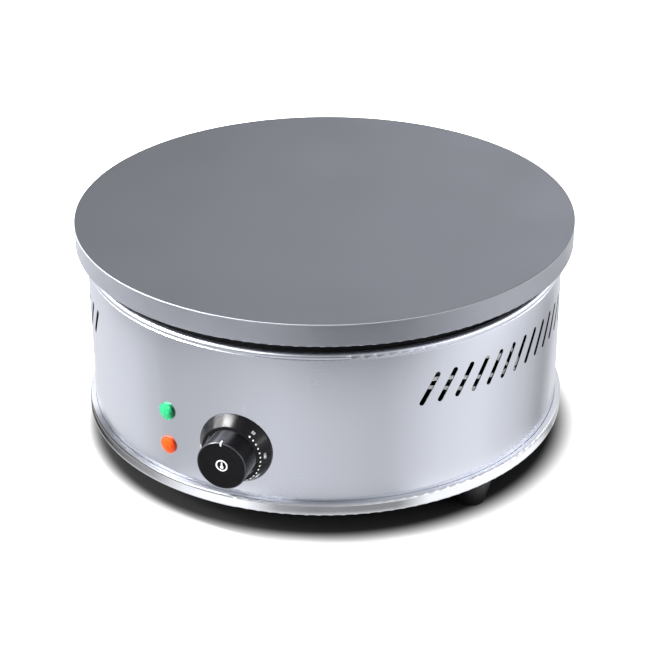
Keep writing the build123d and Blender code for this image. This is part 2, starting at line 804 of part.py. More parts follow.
with BuildPart() as base_pan:
    with BuildSketch(Plane.XZ):
        rim_top = foot_height + pan_height
        low = pan_radius - pan_corner
        high = pan_radius - pan_lip_corner
        lip = drum_radius + pan_lip_gap
        wall_in = pan_radius - pan_sheet
        step_out = pan_step_radius + pan_step_slope
        with BuildLine():
            Polyline(
                (0, foot_height + pan_step_height),
                (pan_step_radius, foot_height + pan_step_height),
                (step_out, foot_height),
                (low, foot_height),
            )
            CenterArc((low, foot_height + pan_corner), pan_corner, -90, 90)
            Line((pan_radius, foot_height + pan_corner), (pan_radius, rim_top - pan_lip_corner))
            CenterArc((high, rim_top - pan_lip_corner), pan_lip_corner, 0, 90)
            Polyline(
                (high, rim_top),
                (lip, rim_top),
                (lip, rim_top - pan_sheet),
                (high, rim_top - pan_sheet),
            )
            CenterArc((high, rim_top - pan_lip_corner), pan_lip_corner - pan_sheet, 0, 90)
            Line((wall_in, rim_top - pan_lip_corner), (wall_in, foot_height + pan_corner))
            CenterArc((low, foot_height + pan_corner), pan_corner - pan_sheet, -90, 90)
            Polyline(
                (low, pan_top),
                (step_out, pan_top),
                (pan_step_radius, pan_top + pan_step_height),
                (0, pan_top + pan_step_height),
                (0, foot_height + pan_step_height),
            )
        make_face()
    revolve(axis=Axis.Z)
    with BuildSketch(Plane.XY.offset(foot_height)):
        with PolarLocations(foot_circle, support_count, start_angle=support_start):
            Circle(m5_radius + seat_gap)
        with PolarLocations(pan_screw_circle, support_count, start_angle=-90):
            Circle(m4_radius + seat_gap)
        with PolarLocations(pan_vent_circle, pan_vent_count):
            SlotOverall(pan_vent_length, pan_vent_width)
        with Locations((-block_hole_spread, block_centre.Y), (block_hole_spread, block_centre.Y)):
            Circle(m3_radius + seat_gap)
    extrude(amount=pan_step_height + pan_sheet, mode=Mode.SUBTRACT)
write(base_pan, "base_pan")

with BuildPart() as base_screws:
    with BuildSketch(Plane.XY.offset(foot_height)):
        with PolarLocations(pan_screw_circle, support_count, start_angle=-90):
            Circle(m4_head_radius)
    extrude(amount=-m4_head)
    chamfer(base_screws.faces().filter_by(Axis.Z).group_by(Axis.Z)[0].edges(), m4_head / 3)
    with BuildSketch(Plane.XY.offset(foot_height)):
        with PolarLocations(pan_screw_circle, support_count, start_angle=-90):
            Circle(m4_radius)
    extrude(amount=pan_screw_length)
write(base_screws, "base_screws")

with BuildPart() as base_nuts:
    with BuildSketch(Plane.XY.offset(flange_top)):
        with PolarLocations(pan_screw_circle, support_count, start_angle=-90):
            RegularPolygon(hexagon_radius(m4_flats), 6)
            Circle(m4_radius, mode=Mode.SUBTRACT)
    extrude(amount=m4_nut)
write(base_nuts, "base_nuts")


# ---------------------------------------------------------------- feet
foot_taper = math.degrees(math.atan((foot_top_radius - foot_bottom_radius) / foot_height))


def make_foot(bearing):
    at = around(bearing, foot_circle, 0)
    with BuildPart() as foot:
        with BuildSketch(Plane(origin=at)):
            Circle(foot_bottom_radius)
        extrude(amount=foot_height, taper=-foot_taper)
        fillet(foot.faces().sort_by(Axis.Z)[0].edges(), foot_edge_round)
        with BuildSketch(Plane(origin=at)):
            Circle(foot_bore_radius)
        extrude(amount=foot_bore_depth, mode=Mode.SUBTRACT)
        with BuildSketch(Plane(origin=at)):
            Circle(m5_radius + seat_gap)
        extrude(amount=foot_height, mode=Mode.SUBTRACT)
    return foot


for side, bearing in (("right", support_bearing), ("rear", 180), ("left", -support_bearing)):
    write(make_foot(bearing), f"foot_{side}")

foot_washer_bottom = foot_bore_depth - washer_sheet
with BuildPart() as foot_washers:
    with BuildSketch(Plane.XY.offset(foot_washer_bottom)):
        with PolarLocations(foot_circle, support_count, start_angle=support_start):
            Circle(foot_bore_radius - seat_gap)
            Circle(m5_radius + seat_gap, mode=Mode.SUBTRACT)
    extrude(amount=washer_sheet)
write(foot_washers, "foot_washers")

with BuildPart() as foot_screws:
    with BuildSketch(Plane.XY.offset(foot_washer_bottom)):
        with PolarLocations(foot_circle, support_count, start_angle=support_start):
            Circle(m5_head_radius)
    extrude(amount=-m5_head)
    chamfer(foot_screws.faces().filter_by(Axis.Z).group_by(Axis.Z)[0].edges(), m5_head / 3)
    with BuildSketch(Plane.XY.offset(foot_washer_bottom)):
        with PolarLocations(foot_circle, support_count, start_angle=support_start):
            Circle(m5_radius)
    extrude(amount=foot_screw_length)
write(foot_screws, "foot_screws")

with BuildPart() as foot_nuts:
    with BuildSketch(Plane.XY.offset(flange_top)):
        with PolarLocations(foot_circle, support_count, start_angle=support_start):
            RegularPolygon(hexagon_radius(m5_flats), 6)
            Circle(m5_radius, mode=Mode.SUBTRACT)
    extrude(amount=m5_nut)
write(foot_nuts, "foot_nuts")


# ---------------------------------------------------------------- thermostat
strap_face = flat_inside(drum_inner, strap_width / 2)
body_front = strap_face - strap_sheet
shaft_inner = body_front - shaft_seat

with BuildPart() as thermostat_plate:
    with BuildSketch(facing(0, body_front, knob_height)):
        RectangleRounded(strap_width, strap_length, strap_width / 4)
        Circle(shaft_radius + bolt_gap, mode=Mode.SUBTRACT)
        with Locations((0, screw_spacing / 2), (0, -screw_spacing / 2)):
            Circle(m4_radius, mode=Mode.SUBTRACT)
    extrude(amount=strap_sheet)
write(thermostat_plate, "thermostat_plate")

screw_end = drum_radius - screw_grip
with BuildPart() as thermostat_body:
    with BuildSketch(facing(0, body_back, knob_height)):
        RectangleRounded(body_width, body_width, body_round)
    extrude(amount=body_depth)
    chamfer(thermostat_body.faces().sort_by(Axis.Y)[-1].edges(), body_round / 4)
    with BuildSketch(facing(0, body_front, knob_height)):
        Circle(shaft_radius + shaft_gap)
    extrude(amount=-(shaft_seat + shaft_end_gap), mode=Mode.SUBTRACT)
    with BuildSketch(facing(0, body_front, knob_height)):
        with Locations((0, screw_spacing / 2), (0, -screw_spacing / 2)):
            Circle(m4_radius + bolt_gap)
    extrude(amount=-(body_front - screw_end + bolt_gap), mode=Mode.SUBTRACT)
write(thermostat_body, "thermostat_body")

tab_places = [(x, y) for x in (tab_spread, -tab_spread) for y in (tab_rise, -tab_rise)]
with BuildPart() as thermostat_terminals:
    with BuildSketch(facing(0, body_back, knob_height)):
        with Locations(*tab_places):
            Rectangle(tab_sheet, tab_width)
    extrude(amount=-tab_length)
write(thermostat_terminals, "thermostat_terminals")

with BuildPart() as thermostat_screws:
    with BuildSketch(facing(0, drum_radius, knob_height)):
        with Locations((0, screw_spacing / 2), (0, -screw_spacing / 2)):
            Circle(m4_head_radius)
    extrude(amount=m4_head)
    chamfer(thermostat_screws.faces().filter_by(Axis.Y).group_by(Axis.Y)[0].edges(), m4_head / 3)
    with BuildSketch(facing(0, drum_radius, knob_height)):
        with Locations((0, screw_spacing / 2), (0, -screw_spacing / 2)):
            Circle(m4_radius)
    extrude(amount=-screw_grip)
write(thermostat_screws, "thermostat_screws")

shaft_tip = drum_radius + shaft_reach
flat_length = shaft_tip - knob_back + shaft_end_gap
flat_rise = shaft_radius - shaft_flat_depth
with BuildPart() as thermostat_shaft:
    with BuildSketch(facing(0, shaft_inner, knob_height)):
        Circle(shaft_radius)
    extrude(amount=shaft_tip - shaft_inner)
    chamfer(thermostat_shaft.faces().sort_by(Axis.Y)[0].edges(), shaft_radius / 6)
    with BuildSketch(facing(0, shaft_tip, knob_height)):
        with Locations((0, 2 * shaft_radius - shaft_flat_depth)):
            Rectangle(2 * shaft_radius, 2 * shaft_radius)
    extrude(amount=-flat_length, mode=Mode.SUBTRACT)
write(thermostat_shaft, "thermostat_shaft")


# ---------------------------------------------------------------- knob
dish_floor = knob_front - knob_dish_depth
with BuildPart() as knob:
    with BuildSketch(lengthwise(0, knob_height)):
        with BuildLine():
            face = Line((0, dish_floor), (knob_hub_radius, dish_floor))
            dish = RadiusArc(face @ 1, (knob_dish_radius, knob_front), -4 * knob_radius)
            Polyline(
                dish @ 1,
                (knob_radius, knob_front),
                (knob_rear_radius, knob_back),
                (0, knob_back),
                (0, dish_floor),
            )
        make_face()
    revolve(axis=outward(0, knob_height))
    front_edge = knob.edges().filter_by(GeomType.CIRCLE).filter_by(
        lambda edge: abs(edge.radius - knob_radius) < knob_bore_gap
    )
    fillet(front_edge, knob_round)
    # Hollow from behind, with a hub for the shaft and four ribs.
    skin = knob_wall + knob_dish_depth
    with BuildSketch(facing(0, knob_back, knob_height)):
        Circle(knob_rear_radius - knob_wall)
        Circle(knob_hub_radius, mode=Mode.SUBTRACT)
        with PolarLocations(0, 2):
            Rectangle(2 * knob_radius, knob_rib, mode=Mode.SUBTRACT)
            Rectangle(knob_rib, 2 * knob_radius, mode=Mode.SUBTRACT)
    extrude(amount=knob_front - knob_back - skin, mode=Mode.SUBTRACT)
    with BuildSketch(facing(0, knob_back, knob_height)):
        Circle(shaft_radius + knob_bore_gap)
        with Locations((0, flat_rise + clip_sheet + 2 * shaft_radius)):
            Rectangle(4 * shaft_radius, 4 * shaft_radius, mode=Mode.SUBTRACT)
    extrude(amount=shaft_tip - knob_back + shaft_end_gap, mode=Mode.SUBTRACT)
write(knob, "knob")

# A spring steel strip lies between the flat of the shaft and the flat of the bore.
with BuildPart() as knob_spring:
    with BuildSketch(facing(0, shaft_tip, knob_height)):
        Circle(shaft_radius + knob_bore_gap)
        with Locations((0, flat_rise - 2 * shaft_radius)):
            Rectangle(4 * shaft_radius, 4 * shaft_radius, mode=Mode.SUBTRACT)
        with Locations((0, flat_rise + clip_sheet + 2 * shaft_radius)):
            Rectangle(4 * shaft_radius, 4 * shaft_radius, mode=Mode.SUBTRACT)
    extrude(amount=-flat_length + 2 * shaft_end_gap)
write(knob_spring, "knob_spring")


# ---------------------------------------------------------------- dial bezel
with BuildPart() as dial_bezel:
    foot_out = drum_radius + dial_foot
    rim_out = drum_radius + dial_front
    with BuildSketch(lengthwise(0, knob_height)):
        with BuildLine():
            Polyline(
                (dial_radius, drum_inner - dial_wall),
                (dial_radius, foot_out),
                (dial_front_radius, rim_out),
                (dial_mouth_radius, rim_out),
                (dial_mouth_radius, dial_floor),
                (shaft_radius + bolt_gap, dial_floor),
                (shaft_radius + bolt_gap, dial_floor - dial_floor_sheet),
                (dial_mouth_radius + dial_wall / 2, dial_floor - dial_floor_sheet),
                (dial_radius - dial_wall, foot_out),
                (dial_radius - dial_wall, drum_inner - dial_wall),
                close=True,
            )
        make_face()
    revolve(axis=outward(0, knob_height))
    lip = dial_bezel.edges().filter_by(GeomType.CIRCLE).filter_by(
        lambda edge: abs(edge.radius - dial_front_radius) < peg_gap
    )
    fillet(lip, dial_edge_round)
    with BuildSketch(facing(0, foot_out, knob_height)):
        with Locations((peg_spread, 0), (-peg_spread, 0)):
            Circle(peg_radius)
            Circle(peg_radius + dial_wall)
    extrude(until=Until.NEXT)
    # Its skirt is trimmed to the drum, then the pegs go through the drum.
    with BuildSketch(Plane.XY.offset(knob_height - 2 * dial_radius)):
        Circle(drum_radius)
    extrude(amount=4 * dial_radius, mode=Mode.SUBTRACT)
    with BuildSketch(facing(0, drum_inner - peg_length, knob_height)):
        with Locations((peg_spread, 0), (-peg_spread, 0)):
            Circle(peg_radius)
    extrude(amount=peg_length + drum_sheet + dial_foot)
write(dial_bezel, "dial_bezel")

peg_wall = flat_inside(drum_inner, peg_spread + peg_clip_radius)
with BuildPart() as bezel_clips:
    with BuildSketch(facing(0, peg_wall, knob_height)):
        with Locations((peg_spread, 0), (-peg_spread, 0)):
            Circle(peg_clip_radius)
            Circle(peg_radius, mode=Mode.SUBTRACT)
    extrude(amount=-peg_clip_sheet)
write(bezel_clips, "bezel_clips")


# ---------------------------------------------------------------- pilot lamps
lamp_heights = (lamp_height + lamp_spacing / 2, lamp_height - lamp_spacing / 2)


def make_lens(height):
    base = drum_radius
    top = base + lens_flange + lens_dome
    curve = (lamp_body_radius**2 + lens_dome**2) / (2 * lens_dome)
    opening = math.degrees(math.asin(lamp_body_radius / curve))
    with BuildPart() as lens:
        with BuildSketch(lengthwise(lamp_bearing, height)):
            with BuildLine():
                Polyline(
                    (0, base),
                    (lens_radius, base),
                    (lens_radius, base + lens_flange),
                    (lamp_body_radius, base + lens_flange),
                )
                CenterArc((0, top - curve), curve, 90 - opening, opening)
                Line((0, top), (0, base))
            make_face()
        revolve(axis=outward(lamp_bearing, height))
    return lens


for colour, height in zip(("green", "orange"), lamp_heights):
    write(make_lens(height), f"lamp_lens_{colour}")

with BuildPart() as lamp_bodies:
    with BuildSketch(facing(lamp_bearing, drum_radius, lamp_height)):
        with Locations((0, lamp_spacing / 2), (0, -lamp_spacing / 2)):
            Circle(lamp_body_radius)
    extrude(amount=-lamp_body_length)
write(lamp_bodies, "lamp_bodies")

lamp_wall = flat_inside(drum_inner, lamp_clip_radius)
with BuildPart() as lamp_clips:
    with BuildSketch(facing(lamp_bearing, lamp_wall, lamp_height)):
        with Locations((0, lamp_spacing / 2), (0, -lamp_spacing / 2)):
            Circle(lamp_clip_radius)
            Circle(lamp_body_radius, mode=Mode.SUBTRACT)
    extrude(amount=-lamp_clip_sheet)
write(lamp_clips, "lamp_clips")


# ---------------------------------------------------------------- cord gland
collar_out = drum_radius + gland_collar
spigot_out = collar_out + gland_spigot
mouth_out = drum_radius + gland_reach

with BuildPart() as cable_gland:
    with BuildSketch(facing(180, drum_radius, gland_height)):
        RegularPolygon(hexagon_radius(gland_flats), 6)
    extrude(amount=gland_collar)
    with BuildSketch(facing(180, drum_inner - gland_tail, gland_height)):
        Circle(gland_thread)
    extrude(amount=spigot_out - drum_inner + gland_tail)
    with BuildSketch(facing(180, drum_inner - gland_tail, gland_height)):
        Circle(gland_bore)
    extrude(amount=spigot_out - drum_inner + gland_tail, mode=Mode.SUBTRACT)
write(cable_gland, "cable_gland")

with BuildPart() as gland_nut:
    with BuildSketch(facing(180, collar_out, gland_height)):
        RegularPolygon(hexagon_radius(gland_flats), 6)
    extrude(amount=gland_nut_hex)
    with BuildSketch(lengthwise(180, gland_height)):
        with BuildLine():
            shoulder = (gland_flats / 2, collar_out + gland_nut_hex)
            Polyline((0, mouth_out), (0, shoulder[1]), shoulder)
            dome = RadiusArc(shoulder, (gland_mouth_radius, mouth_out), -gland_reach)
            Line(dome @ 1, (0, mouth_out))
        make_face()
    revolve(axis=outward(180, gland_height))
    with BuildSketch(facing(180, collar_out, gland_height)):
        Circle(gland_thread + gland_thread_gap)
    extrude(amount=gland_spigot, mode=Mode.SUBTRACT)
    with BuildSketch(facing(180, collar_out, gland_height)):
        Circle(gland_bore)
    extrude(amount=mouth_out - collar_out, mode=Mode.SUBTRACT)
write(gland_nut, "gland_nut")

with BuildPart() as gland_locknut:
    nut_face = flat_inside(drum_inner, hexagon_radius(gland_flats))
    with BuildSketch(facing(180, nut_face, gland_height)):
        RegularPolygon(hexagon_radius(gland_flats), 6)
        Circle(gland_thread, mode=Mode.SUBTRACT)
    extrude(amount=-gland_locknut_height)
write(gland_locknut, "gland_locknut")


# ---------------------------------------------------------------- terminal block and earth
pole_xs = [(number - (pole_count - 1) / 2) * pole_pitch for number in range(pole_count)]
block_front = block_centre.Y - block_width / 2
wire_height = pan_top + pole_height

with BuildPart() as terminal_block:
    with BuildSketch(Plane(origin=block_centre)):
        Rectangle(block_length, block_width)
    extrude(amount=block_height - block_step)
    with BuildSketch(Plane(origin=block_centre + Vector(0, 0, block_height - block_step))):
        Rectangle(block_length, block_width / 2)
    extrude(amount=block_step)
    # Wire holes in both long sides, one pair for each pole.
    with BuildSketch(Plane(origin=(0, block_front, wire_height), x_dir=(1, 0, 0), z_dir=(0, 1, 0))):
        with Locations(*[(x, 0) for x in pole_xs]):
            Circle(lead_radius + lead_gap)
    extrude(amount=pole_hole_depth, mode=Mode.SUBTRACT)
    back = block_front + block_width
    with BuildSketch(Plane(origin=(0, back, wire_height), x_dir=(1, 0, 0), z_dir=(0, -1, 0))):
        with Locations(*[(x, 0) for x in pole_xs]):
            Circle(lead_radius + lead_gap)
    extrude(amount=pole_hole_depth, mode=Mode.SUBTRACT)
    # Fixing holes between the poles.
    with BuildSketch(Plane(origin=block_centre)):
        with Locations((-block_hole_spread, 0), (block_hole_spread, 0)):
            Circle(m3_radius)
    extrude(amount=block_height / 2, mode=Mode.SUBTRACT)
write(terminal_block, "terminal_block")

with BuildPart() as terminal_screws:
    ledge = pan_top + block_height - block_step
    across_block = block_width * 3 / 8
    with BuildSketch(Plane(origin=(0, block_centre.Y, ledge))):
        with Locations(*[(x, y) for x in pole_xs for y in (across_block, -across_block)]):
            Circle(m4_radius)
    extrude(amount=m4_head / 2)
write(terminal_screws, "terminal_screws")

with BuildPart() as block_screws:
    with BuildSketch(Plane.XY.offset(foot_height)):
        with Locations((-block_hole_spread, block_centre.Y), (block_hole_spread, block_centre.Y)):
            Circle(m3_head_radius)
    extrude(amount=-m3_head)
    with BuildSketch(Plane.XY.offset(foot_height)):
        with Locations((-block_hole_spread, block_centre.Y), (block_hole_spread, block_centre.Y)):
            Circle(m3_radius)
    extrude(amount=pan_sheet + block_height / 3)
write(block_screws, "block_screws")

with BuildPart() as earth_stud:
    with BuildSketch(Plane(origin=earth_place)):
        Circle(m5_radius)
    extrude(amount=earth_length)
    chamfer(earth_stud.faces().sort_by(Axis.Z)[-1].edges(), m5_radius / 5)
write(earth_stud, "earth_stud")

with BuildPart() as earth_nuts:
    for rise in (0, earth_nut_rise + m5_nut):
        with BuildSketch(Plane(origin=earth_place + Vector(0, 0, rise))):
            RegularPolygon(hexagon_radius(m5_flats), 6)
            Circle(m5_radius, mode=Mode.SUBTRACT)
        extrude(amount=m5_nut)
write(earth_nuts, "earth_nuts")


# ---------------------------------------------------------------- leads
tab_back = body_back - tab_length
pin_end = tail_end - pin_length


def pole(number):
    return Vector(pole_xs[number], block_front + pole_hole_depth, wire_height)


def tab(side, row):
    return Vector(side * tab_spread, -tab_back, knob_height + row * tab_rise)


# The back of a lamp, on its left or right terminal.
def lamp_terminal_at(height, side):
    back = facing(lamp_bearing, drum_radius - lamp_body_length, height)
    return back.origin + back.x_dir * side * lamp_terminal


# A route leaves and reaches its terminals straight, with places inside the drum between.
def route(start, leave, middle, arrive, end):
    return [
        start,
        start + Vector(*leave),
        *[within(*place) for place in middle],
        end + Vector(*arrive),
        end,
    ]


lamp_inward = around(lamp_bearing, -16, 0)
earth_height = earth_place.Z + m5_nut + earth_nut_rise / 2
earth_start = around(earth_bearing, earth_circle - m5_radius, earth_height)
bridge_start = lamp_terminal_at(lamp_heights[0], 1)
bridge_end = lamp_terminal_at(lamp_heights[1] + 2 * (lead_radius + lead_gap), 1)
leads = {
    "lead_live": [
        route(
            tab(1, -1),
            (0, 18, 0),
            [(26, 33, 75), (44, wall_gap, 102), (66, wall_gap, 80), (92, 23, 54), (122, 41, 30)],
            (0, -24, 0),
            pole(3),
        )
    ],
    "lead_neutral": [
        route(
            Vector(*tails[1], pin_end),
            (0, 0, -10),
            [(50, 31, 107), (68, wall_gap, 94), (94, 31, 66), (124, 51, 40)],
            (0, -30, 0),
            pole(2),
        )
    ],
    "lead_switched": [
        route(tab(1, 1), (0, 14, 0), [(14, 53, 88)], (0, 0, -16), Vector(*tails[0], pin_end))
    ],
    "lead_earth": [
        route(earth_start, around(earth_bearing, -14, 0), [], (0, -20, 0), pole(0))
    ],
    "lead_lamp_neutral": [
        route(
            lamp_terminal_at(lamp_heights[1], 1),
            lamp_inward,
            [(14, 57, 61), (40, 19, 92), (62, wall_gap, 74), (90, 15, 42), (126, 61, 22)],
            (0, -38, 0),
            pole(1),
        )
    ],
    "lamp_leads": [
        route(lamp_terminal_at(height, -1), lamp_inward * 1.4, [], (0, 15, 0), tab(-1, row))
        for height, row in zip(lamp_heights, (1, -1))
    ],
    "lamp_bridge": [
        [bridge_start, bridge_start + lamp_inward, bridge_end + lamp_inward, bridge_end]
    ],
}
for name, routes in leads.items():
    write(run_leads(routes, lead_radius), name)
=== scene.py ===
import math

import bmesh
import bpy
from mathutils import Euler, Matrix, Quaternion, Vector


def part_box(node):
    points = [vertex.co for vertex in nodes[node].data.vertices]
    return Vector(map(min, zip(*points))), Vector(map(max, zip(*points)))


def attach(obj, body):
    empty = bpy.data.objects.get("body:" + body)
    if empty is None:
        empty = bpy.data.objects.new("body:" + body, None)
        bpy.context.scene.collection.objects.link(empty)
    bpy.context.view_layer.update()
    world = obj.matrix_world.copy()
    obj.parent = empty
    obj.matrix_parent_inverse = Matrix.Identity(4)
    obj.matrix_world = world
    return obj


# Electric crepe maker in metres. The plate's centre is over the origin and the knob faces -Y.
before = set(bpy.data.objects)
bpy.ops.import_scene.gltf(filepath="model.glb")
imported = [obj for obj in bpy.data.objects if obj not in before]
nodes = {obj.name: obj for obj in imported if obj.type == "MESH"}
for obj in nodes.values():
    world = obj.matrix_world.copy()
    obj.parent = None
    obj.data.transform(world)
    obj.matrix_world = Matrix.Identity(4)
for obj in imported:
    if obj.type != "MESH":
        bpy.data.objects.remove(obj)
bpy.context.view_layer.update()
scene = bpy.context.scene
scene.view_settings.view_transform = "Standard"
print("loaded", len(nodes), "nodes")

mm = 0.001
sheetRadius = 0.19      # at which lengths along the sheet are taken
firstBearing = -90      # of the tones set by bearing, in degrees from the front
lastBearing = 120


# Small helpers.

def addNode(tree, kind, inputs=None, **settings):
    node = tree.nodes.new("ShaderNode" + kind)
    for name, value in settings.items():
        setattr(node, name, value)
    for name, value in (inputs or {}).items():
        if isinstance(value, bpy.types.NodeSocket):
            tree.links.new(value, node.inputs[name])
        else:
            node.inputs[name].default_value = value
    return node


def math2(tree, operation, first, second=0.0):
    return addNode(tree, "Math", {0: first, 1: second}, operation=operation).outputs[0]


def newFinish(name, sockets):
    material = bpy.data.materials.new(name)
    material.use_nodes = True
    tree = material.node_tree
    shader = tree.nodes["Principled BSDF"]
    for socket, value in sockets.items():
        shader.inputs[socket].default_value = value
    return material, tree, shader


def objectPoint(tree, scale=(1, 1, 1), turn=(0, 0, 0)):
    place = addNode(tree, "TexCoord")
    mapping = addNode(tree, "Mapping", {"Vector": place.outputs["Object"], "Scale": scale, "Rotation": turn})
    return mapping.outputs["Vector"]


def noise(tree, point, scale, detail=3.0, roughness=0.5):
    return addNode(
        tree, "TexNoise",
        {"Vector": point, "Scale": scale, "Detail": detail, "Roughness": roughness},
    ).outputs["Fac"]


def ramp(tree, factor, stops):
    node = addNode(tree, "ValToRGB", {"Fac": factor})
    elements = node.color_ramp.elements
    while len(elements) < len(stops):
        elements.new(0.5)
    for element, (position, colour) in zip(elements, stops):
        element.position = position
        element.color = (*colour, 1) if isinstance(colour, tuple) else (colour, colour, colour, 1)
    return node.outputs["Color"]


def remap(tree, value, low, high, fromLow=0.0, fromHigh=1.0):
    return addNode(
        tree, "MapRange",
        {"Value": value, "From Min": fromLow, "From Max": fromHigh, "To Min": low, "To Max": high},
    ).outputs["Result"]


def bump(tree, shader, height, distance, strength=1.0):
    node = addNode(tree, "Bump", {"Height": height, "Distance": distance, "Strength": strength})
    tree.links.new(node.outputs["Normal"], shader.inputs["Normal"])


# A noise lies mostly between 0.3 and 0.7.
def fromNoise(tree, cloud, low, high):
    return remap(tree, cloud, low, high, 0.3, 0.7)


# Roughness that goes up and down by a share of itself.
def varyRoughness(tree, shader, cloud, roughness, share):
    rough = fromNoise(tree, cloud, roughness * (1 - share), roughness * (1 + share))
    tree.links.new(rough, shader.inputs["Roughness"])


# A ramp whose stops are set by the bearing from the front.
def bearingRamp(tree, bearing, stops):
    span = lastBearing - firstBearing
    places = [((turn - firstBearing) / span, value) for turn, value in stops]
    return ramp(tree, remap(tree, bearing, 0.0, 1.0, firstBearing, lastBearing), places)


# Coordinates from the middle of a node's box.
def fromMiddle(tree, node):
    low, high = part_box(node)
    middle = [(a + b) / 2 for a, b in zip(low, high)]
    place = addNode(tree, "TexCoord")
    centred = addNode(tree, "VectorMath", {0: place.outputs["Object"], 1: middle}, operation="SUBTRACT")
    return addNode(tree, "SeparateXYZ", {"Vector": centred.outputs[0]}).outputs


# Coordinates round the drum: along the sheet, height and distance from the axis, in metres.
def roundTheDrum(tree):
    place = addNode(tree, "TexCoord")
    parts = addNode(tree, "SeparateXYZ", {"Vector": place.outputs["Object"]})
    angle = math2(tree, "ARCTAN2", parts.outputs["X"], parts.outputs["Y"])
    across = math2(tree, "MULTIPLY", angle, sheetRadius)
    flat = addNode(tree, "CombineXYZ", {"X": parts.outputs["X"], "Y": parts.outputs["Y"]})
    out = addNode(tree, "VectorMath", {0: flat.outputs[0]}, operation="LENGTH")
    return across, parts.outputs["Z"], out.outputs["Value"]


# Finishes.

drumSteel = {
    "colour": (0.79, 0.82, 0.915),
    "roughness": (0.22, 0.28),
    "grain": 0.015,         # how much the polishing lines change the roughness
    "ripple": 0.00016,      # height of the soft waves in the sheet
    "lipAt": 0.1545,        # the rolled edge begins at this height
    "lipRough": 0.12,       # and is this much rougher than the sheet
    "inside": (0.1908, 0.158),      # painted shade: darkened inside this radius and below this height
}
panSteel = {
    "colour": (0.80, 0.82, 0.87),
    "roughness": (0.09, 0.13),
    "grain": 0.02,
    "ripple": 0.00006,
    "lipAt": 0.0316,        # the bent lip and the ledge are dull
    "lipRough": 0.24,
    "lipPaintedReflection": [           # painted reflection and shade on the lip, by its bearing
        (-90, 0.5), (-62, 0.25), (-54, 0.06), (-44, 0.04), (-30, 0.07), (-22, 0.15), (-14, 0.4), (2, 0.5),
        (10, 0.95), (90, 0.95), (120, 0.9),
    ],
    "ledgePaintedReflection": [         # and painted reflection and shade on the ledge between the lip and the drum
        (-90, 0.9), (-57, 1.0), (-50, 0.3), (-44, 0.15), (-24, 0.10), (-14, 0.08), (-6, 0.10), (2, 0.20),
        (10, 0.8), (90, 0.95), (120, 0.9),
    ],
    "inside": (0.1908, 0.032),
}
bothSheets = {
    "grainScale": (9.0, 2600.0, 300.0),     # of the polishing lines: along the sheet, up it and through it
    "cloudScale": 14.0,
    "cloudTone": (0.99, 1.01),
    "waveScale": 9.0,
    "waveStretch": (1, 1, 0.35),
    "lipFade": 0.0005,      # the lip's finish comes in over this height
    "ledgeAt": 0.0015,      # the ledge begins this far above the lip's foot
    "ledgeFade": 0.0002,
    # painted shade on the insides of the sheets, as a share of their colour
    "paintedInsideTone": 0.05,
    "insideFrom": 0.0236,   # the underside of the pan, below this height, gets no painted shade
    "radiusFade": 0.0002,
    "heightFade": 0.0003,
}


# Painted reflection and shade: how much darker the lip and the ledge are, by their bearing.
def lipShade(tree, look, across, height, lip):
    around = math2(tree, "MULTIPLY", across, 180 / math.pi / sheetRadius)
    bearing = math2(tree, "SUBTRACT", 180.0, math2(tree, "ABSOLUTE", around))
    bearing = math2(tree, "MULTIPLY", bearing, math2(tree, "SIGN", around))
    ledge = look["lipAt"] + bothSheets["ledgeAt"]
    onLedge = remap(tree, height, 0.0, 1.0, ledge, ledge + bothSheets["ledgeFade"])
    tones = addNode(tree, "MixRGB", {
        "Fac": onLedge,
        "Color1": bearingRamp(tree, bearing, look["lipPaintedReflection"]),
        "Color2": bearingRamp(tree, bearing, look["ledgePaintedReflection"]),
    })
    tones = addNode(tree, "MixRGB", {"Fac": lip, "Color1": (1, 1, 1, 1), "Color2": tones.outputs[0]})
    return tones.outputs[0]


# Painted shade on the inside of a sheet, which darkens it to a small share of its colour.
def insideShade(tree, look, height, out):
    radius, top = look["inside"]
    bottom = bothSheets["insideFrom"]
    within = remap(tree, out, 1.0, 0.0, radius, radius + bothSheets["radiusFade"])
    above = remap(tree, height, 0.0, 1.0, bottom, bottom + bothSheets["heightFade"])
    below = remap(tree, height, 1.0, 0.0, top, top + bothSheets["heightFade"])
    hidden = math2(tree, "MULTIPLY", within, math2(tree, "MULTIPLY", above, below))
    return remap(tree, hidden, 1.0, bothSheets["paintedInsideTone"])


def polishedSteel(name, look):
    material, tree, shader = newFinish(name, {"Metallic": 1.0})
    across, height, out = roundTheDrum(tree)
    along, up, through = bothSheets["grainScale"]
    lines = addNode(tree, "CombineXYZ", {
        "X": math2(tree, "MULTIPLY", across, along),
        "Y": math2(tree, "MULTIPLY", height, up),
        "Z": math2(tree, "MULTIPLY", out, through),
    })
    grain = noise(tree, lines.outputs[0], 1.0, 2.0)
    cloud = noise(tree, objectPoint(tree), bothSheets["cloudScale"], 4.0, 0.6)
    rough = fromNoise(tree, cloud, *look["roughness"])
    rough = math2(tree, "ADD", rough, remap(tree, grain, -look["grain"], look["grain"]))
    lip = remap(tree, height, 0.0, 1.0, look["lipAt"], look["lipAt"] + bothSheets["lipFade"])
    rough = math2(tree, "ADD", rough, math2(tree, "MULTIPLY", lip, look["lipRough"]))
    tree.links.new(rough, shader.inputs["Roughness"])
    shade = fromNoise(tree, cloud, *bothSheets["cloudTone"])
    # The pan's lip and ledge get painted reflection and shade by their bearing.
    if "lipPaintedReflection" in look:
        shade = math2(tree, "MULTIPLY", shade, lipShade(tree, look, across, height, lip))
    shade = math2(tree, "MULTIPLY", shade, insideShade(tree, look, height, out))
    colour = addNode(tree, "VectorMath", {0: look["colour"], "Scale": shade}, operation="SCALE")
    tree.links.new(colour.outputs[0], shader.inputs["Base Color"])
    wave = noise(tree, objectPoint(tree, bothSheets["waveStretch"]), bothSheets["waveScale"], 1.0)
    bump(tree, shader, wave, look["ripple"])
    return material


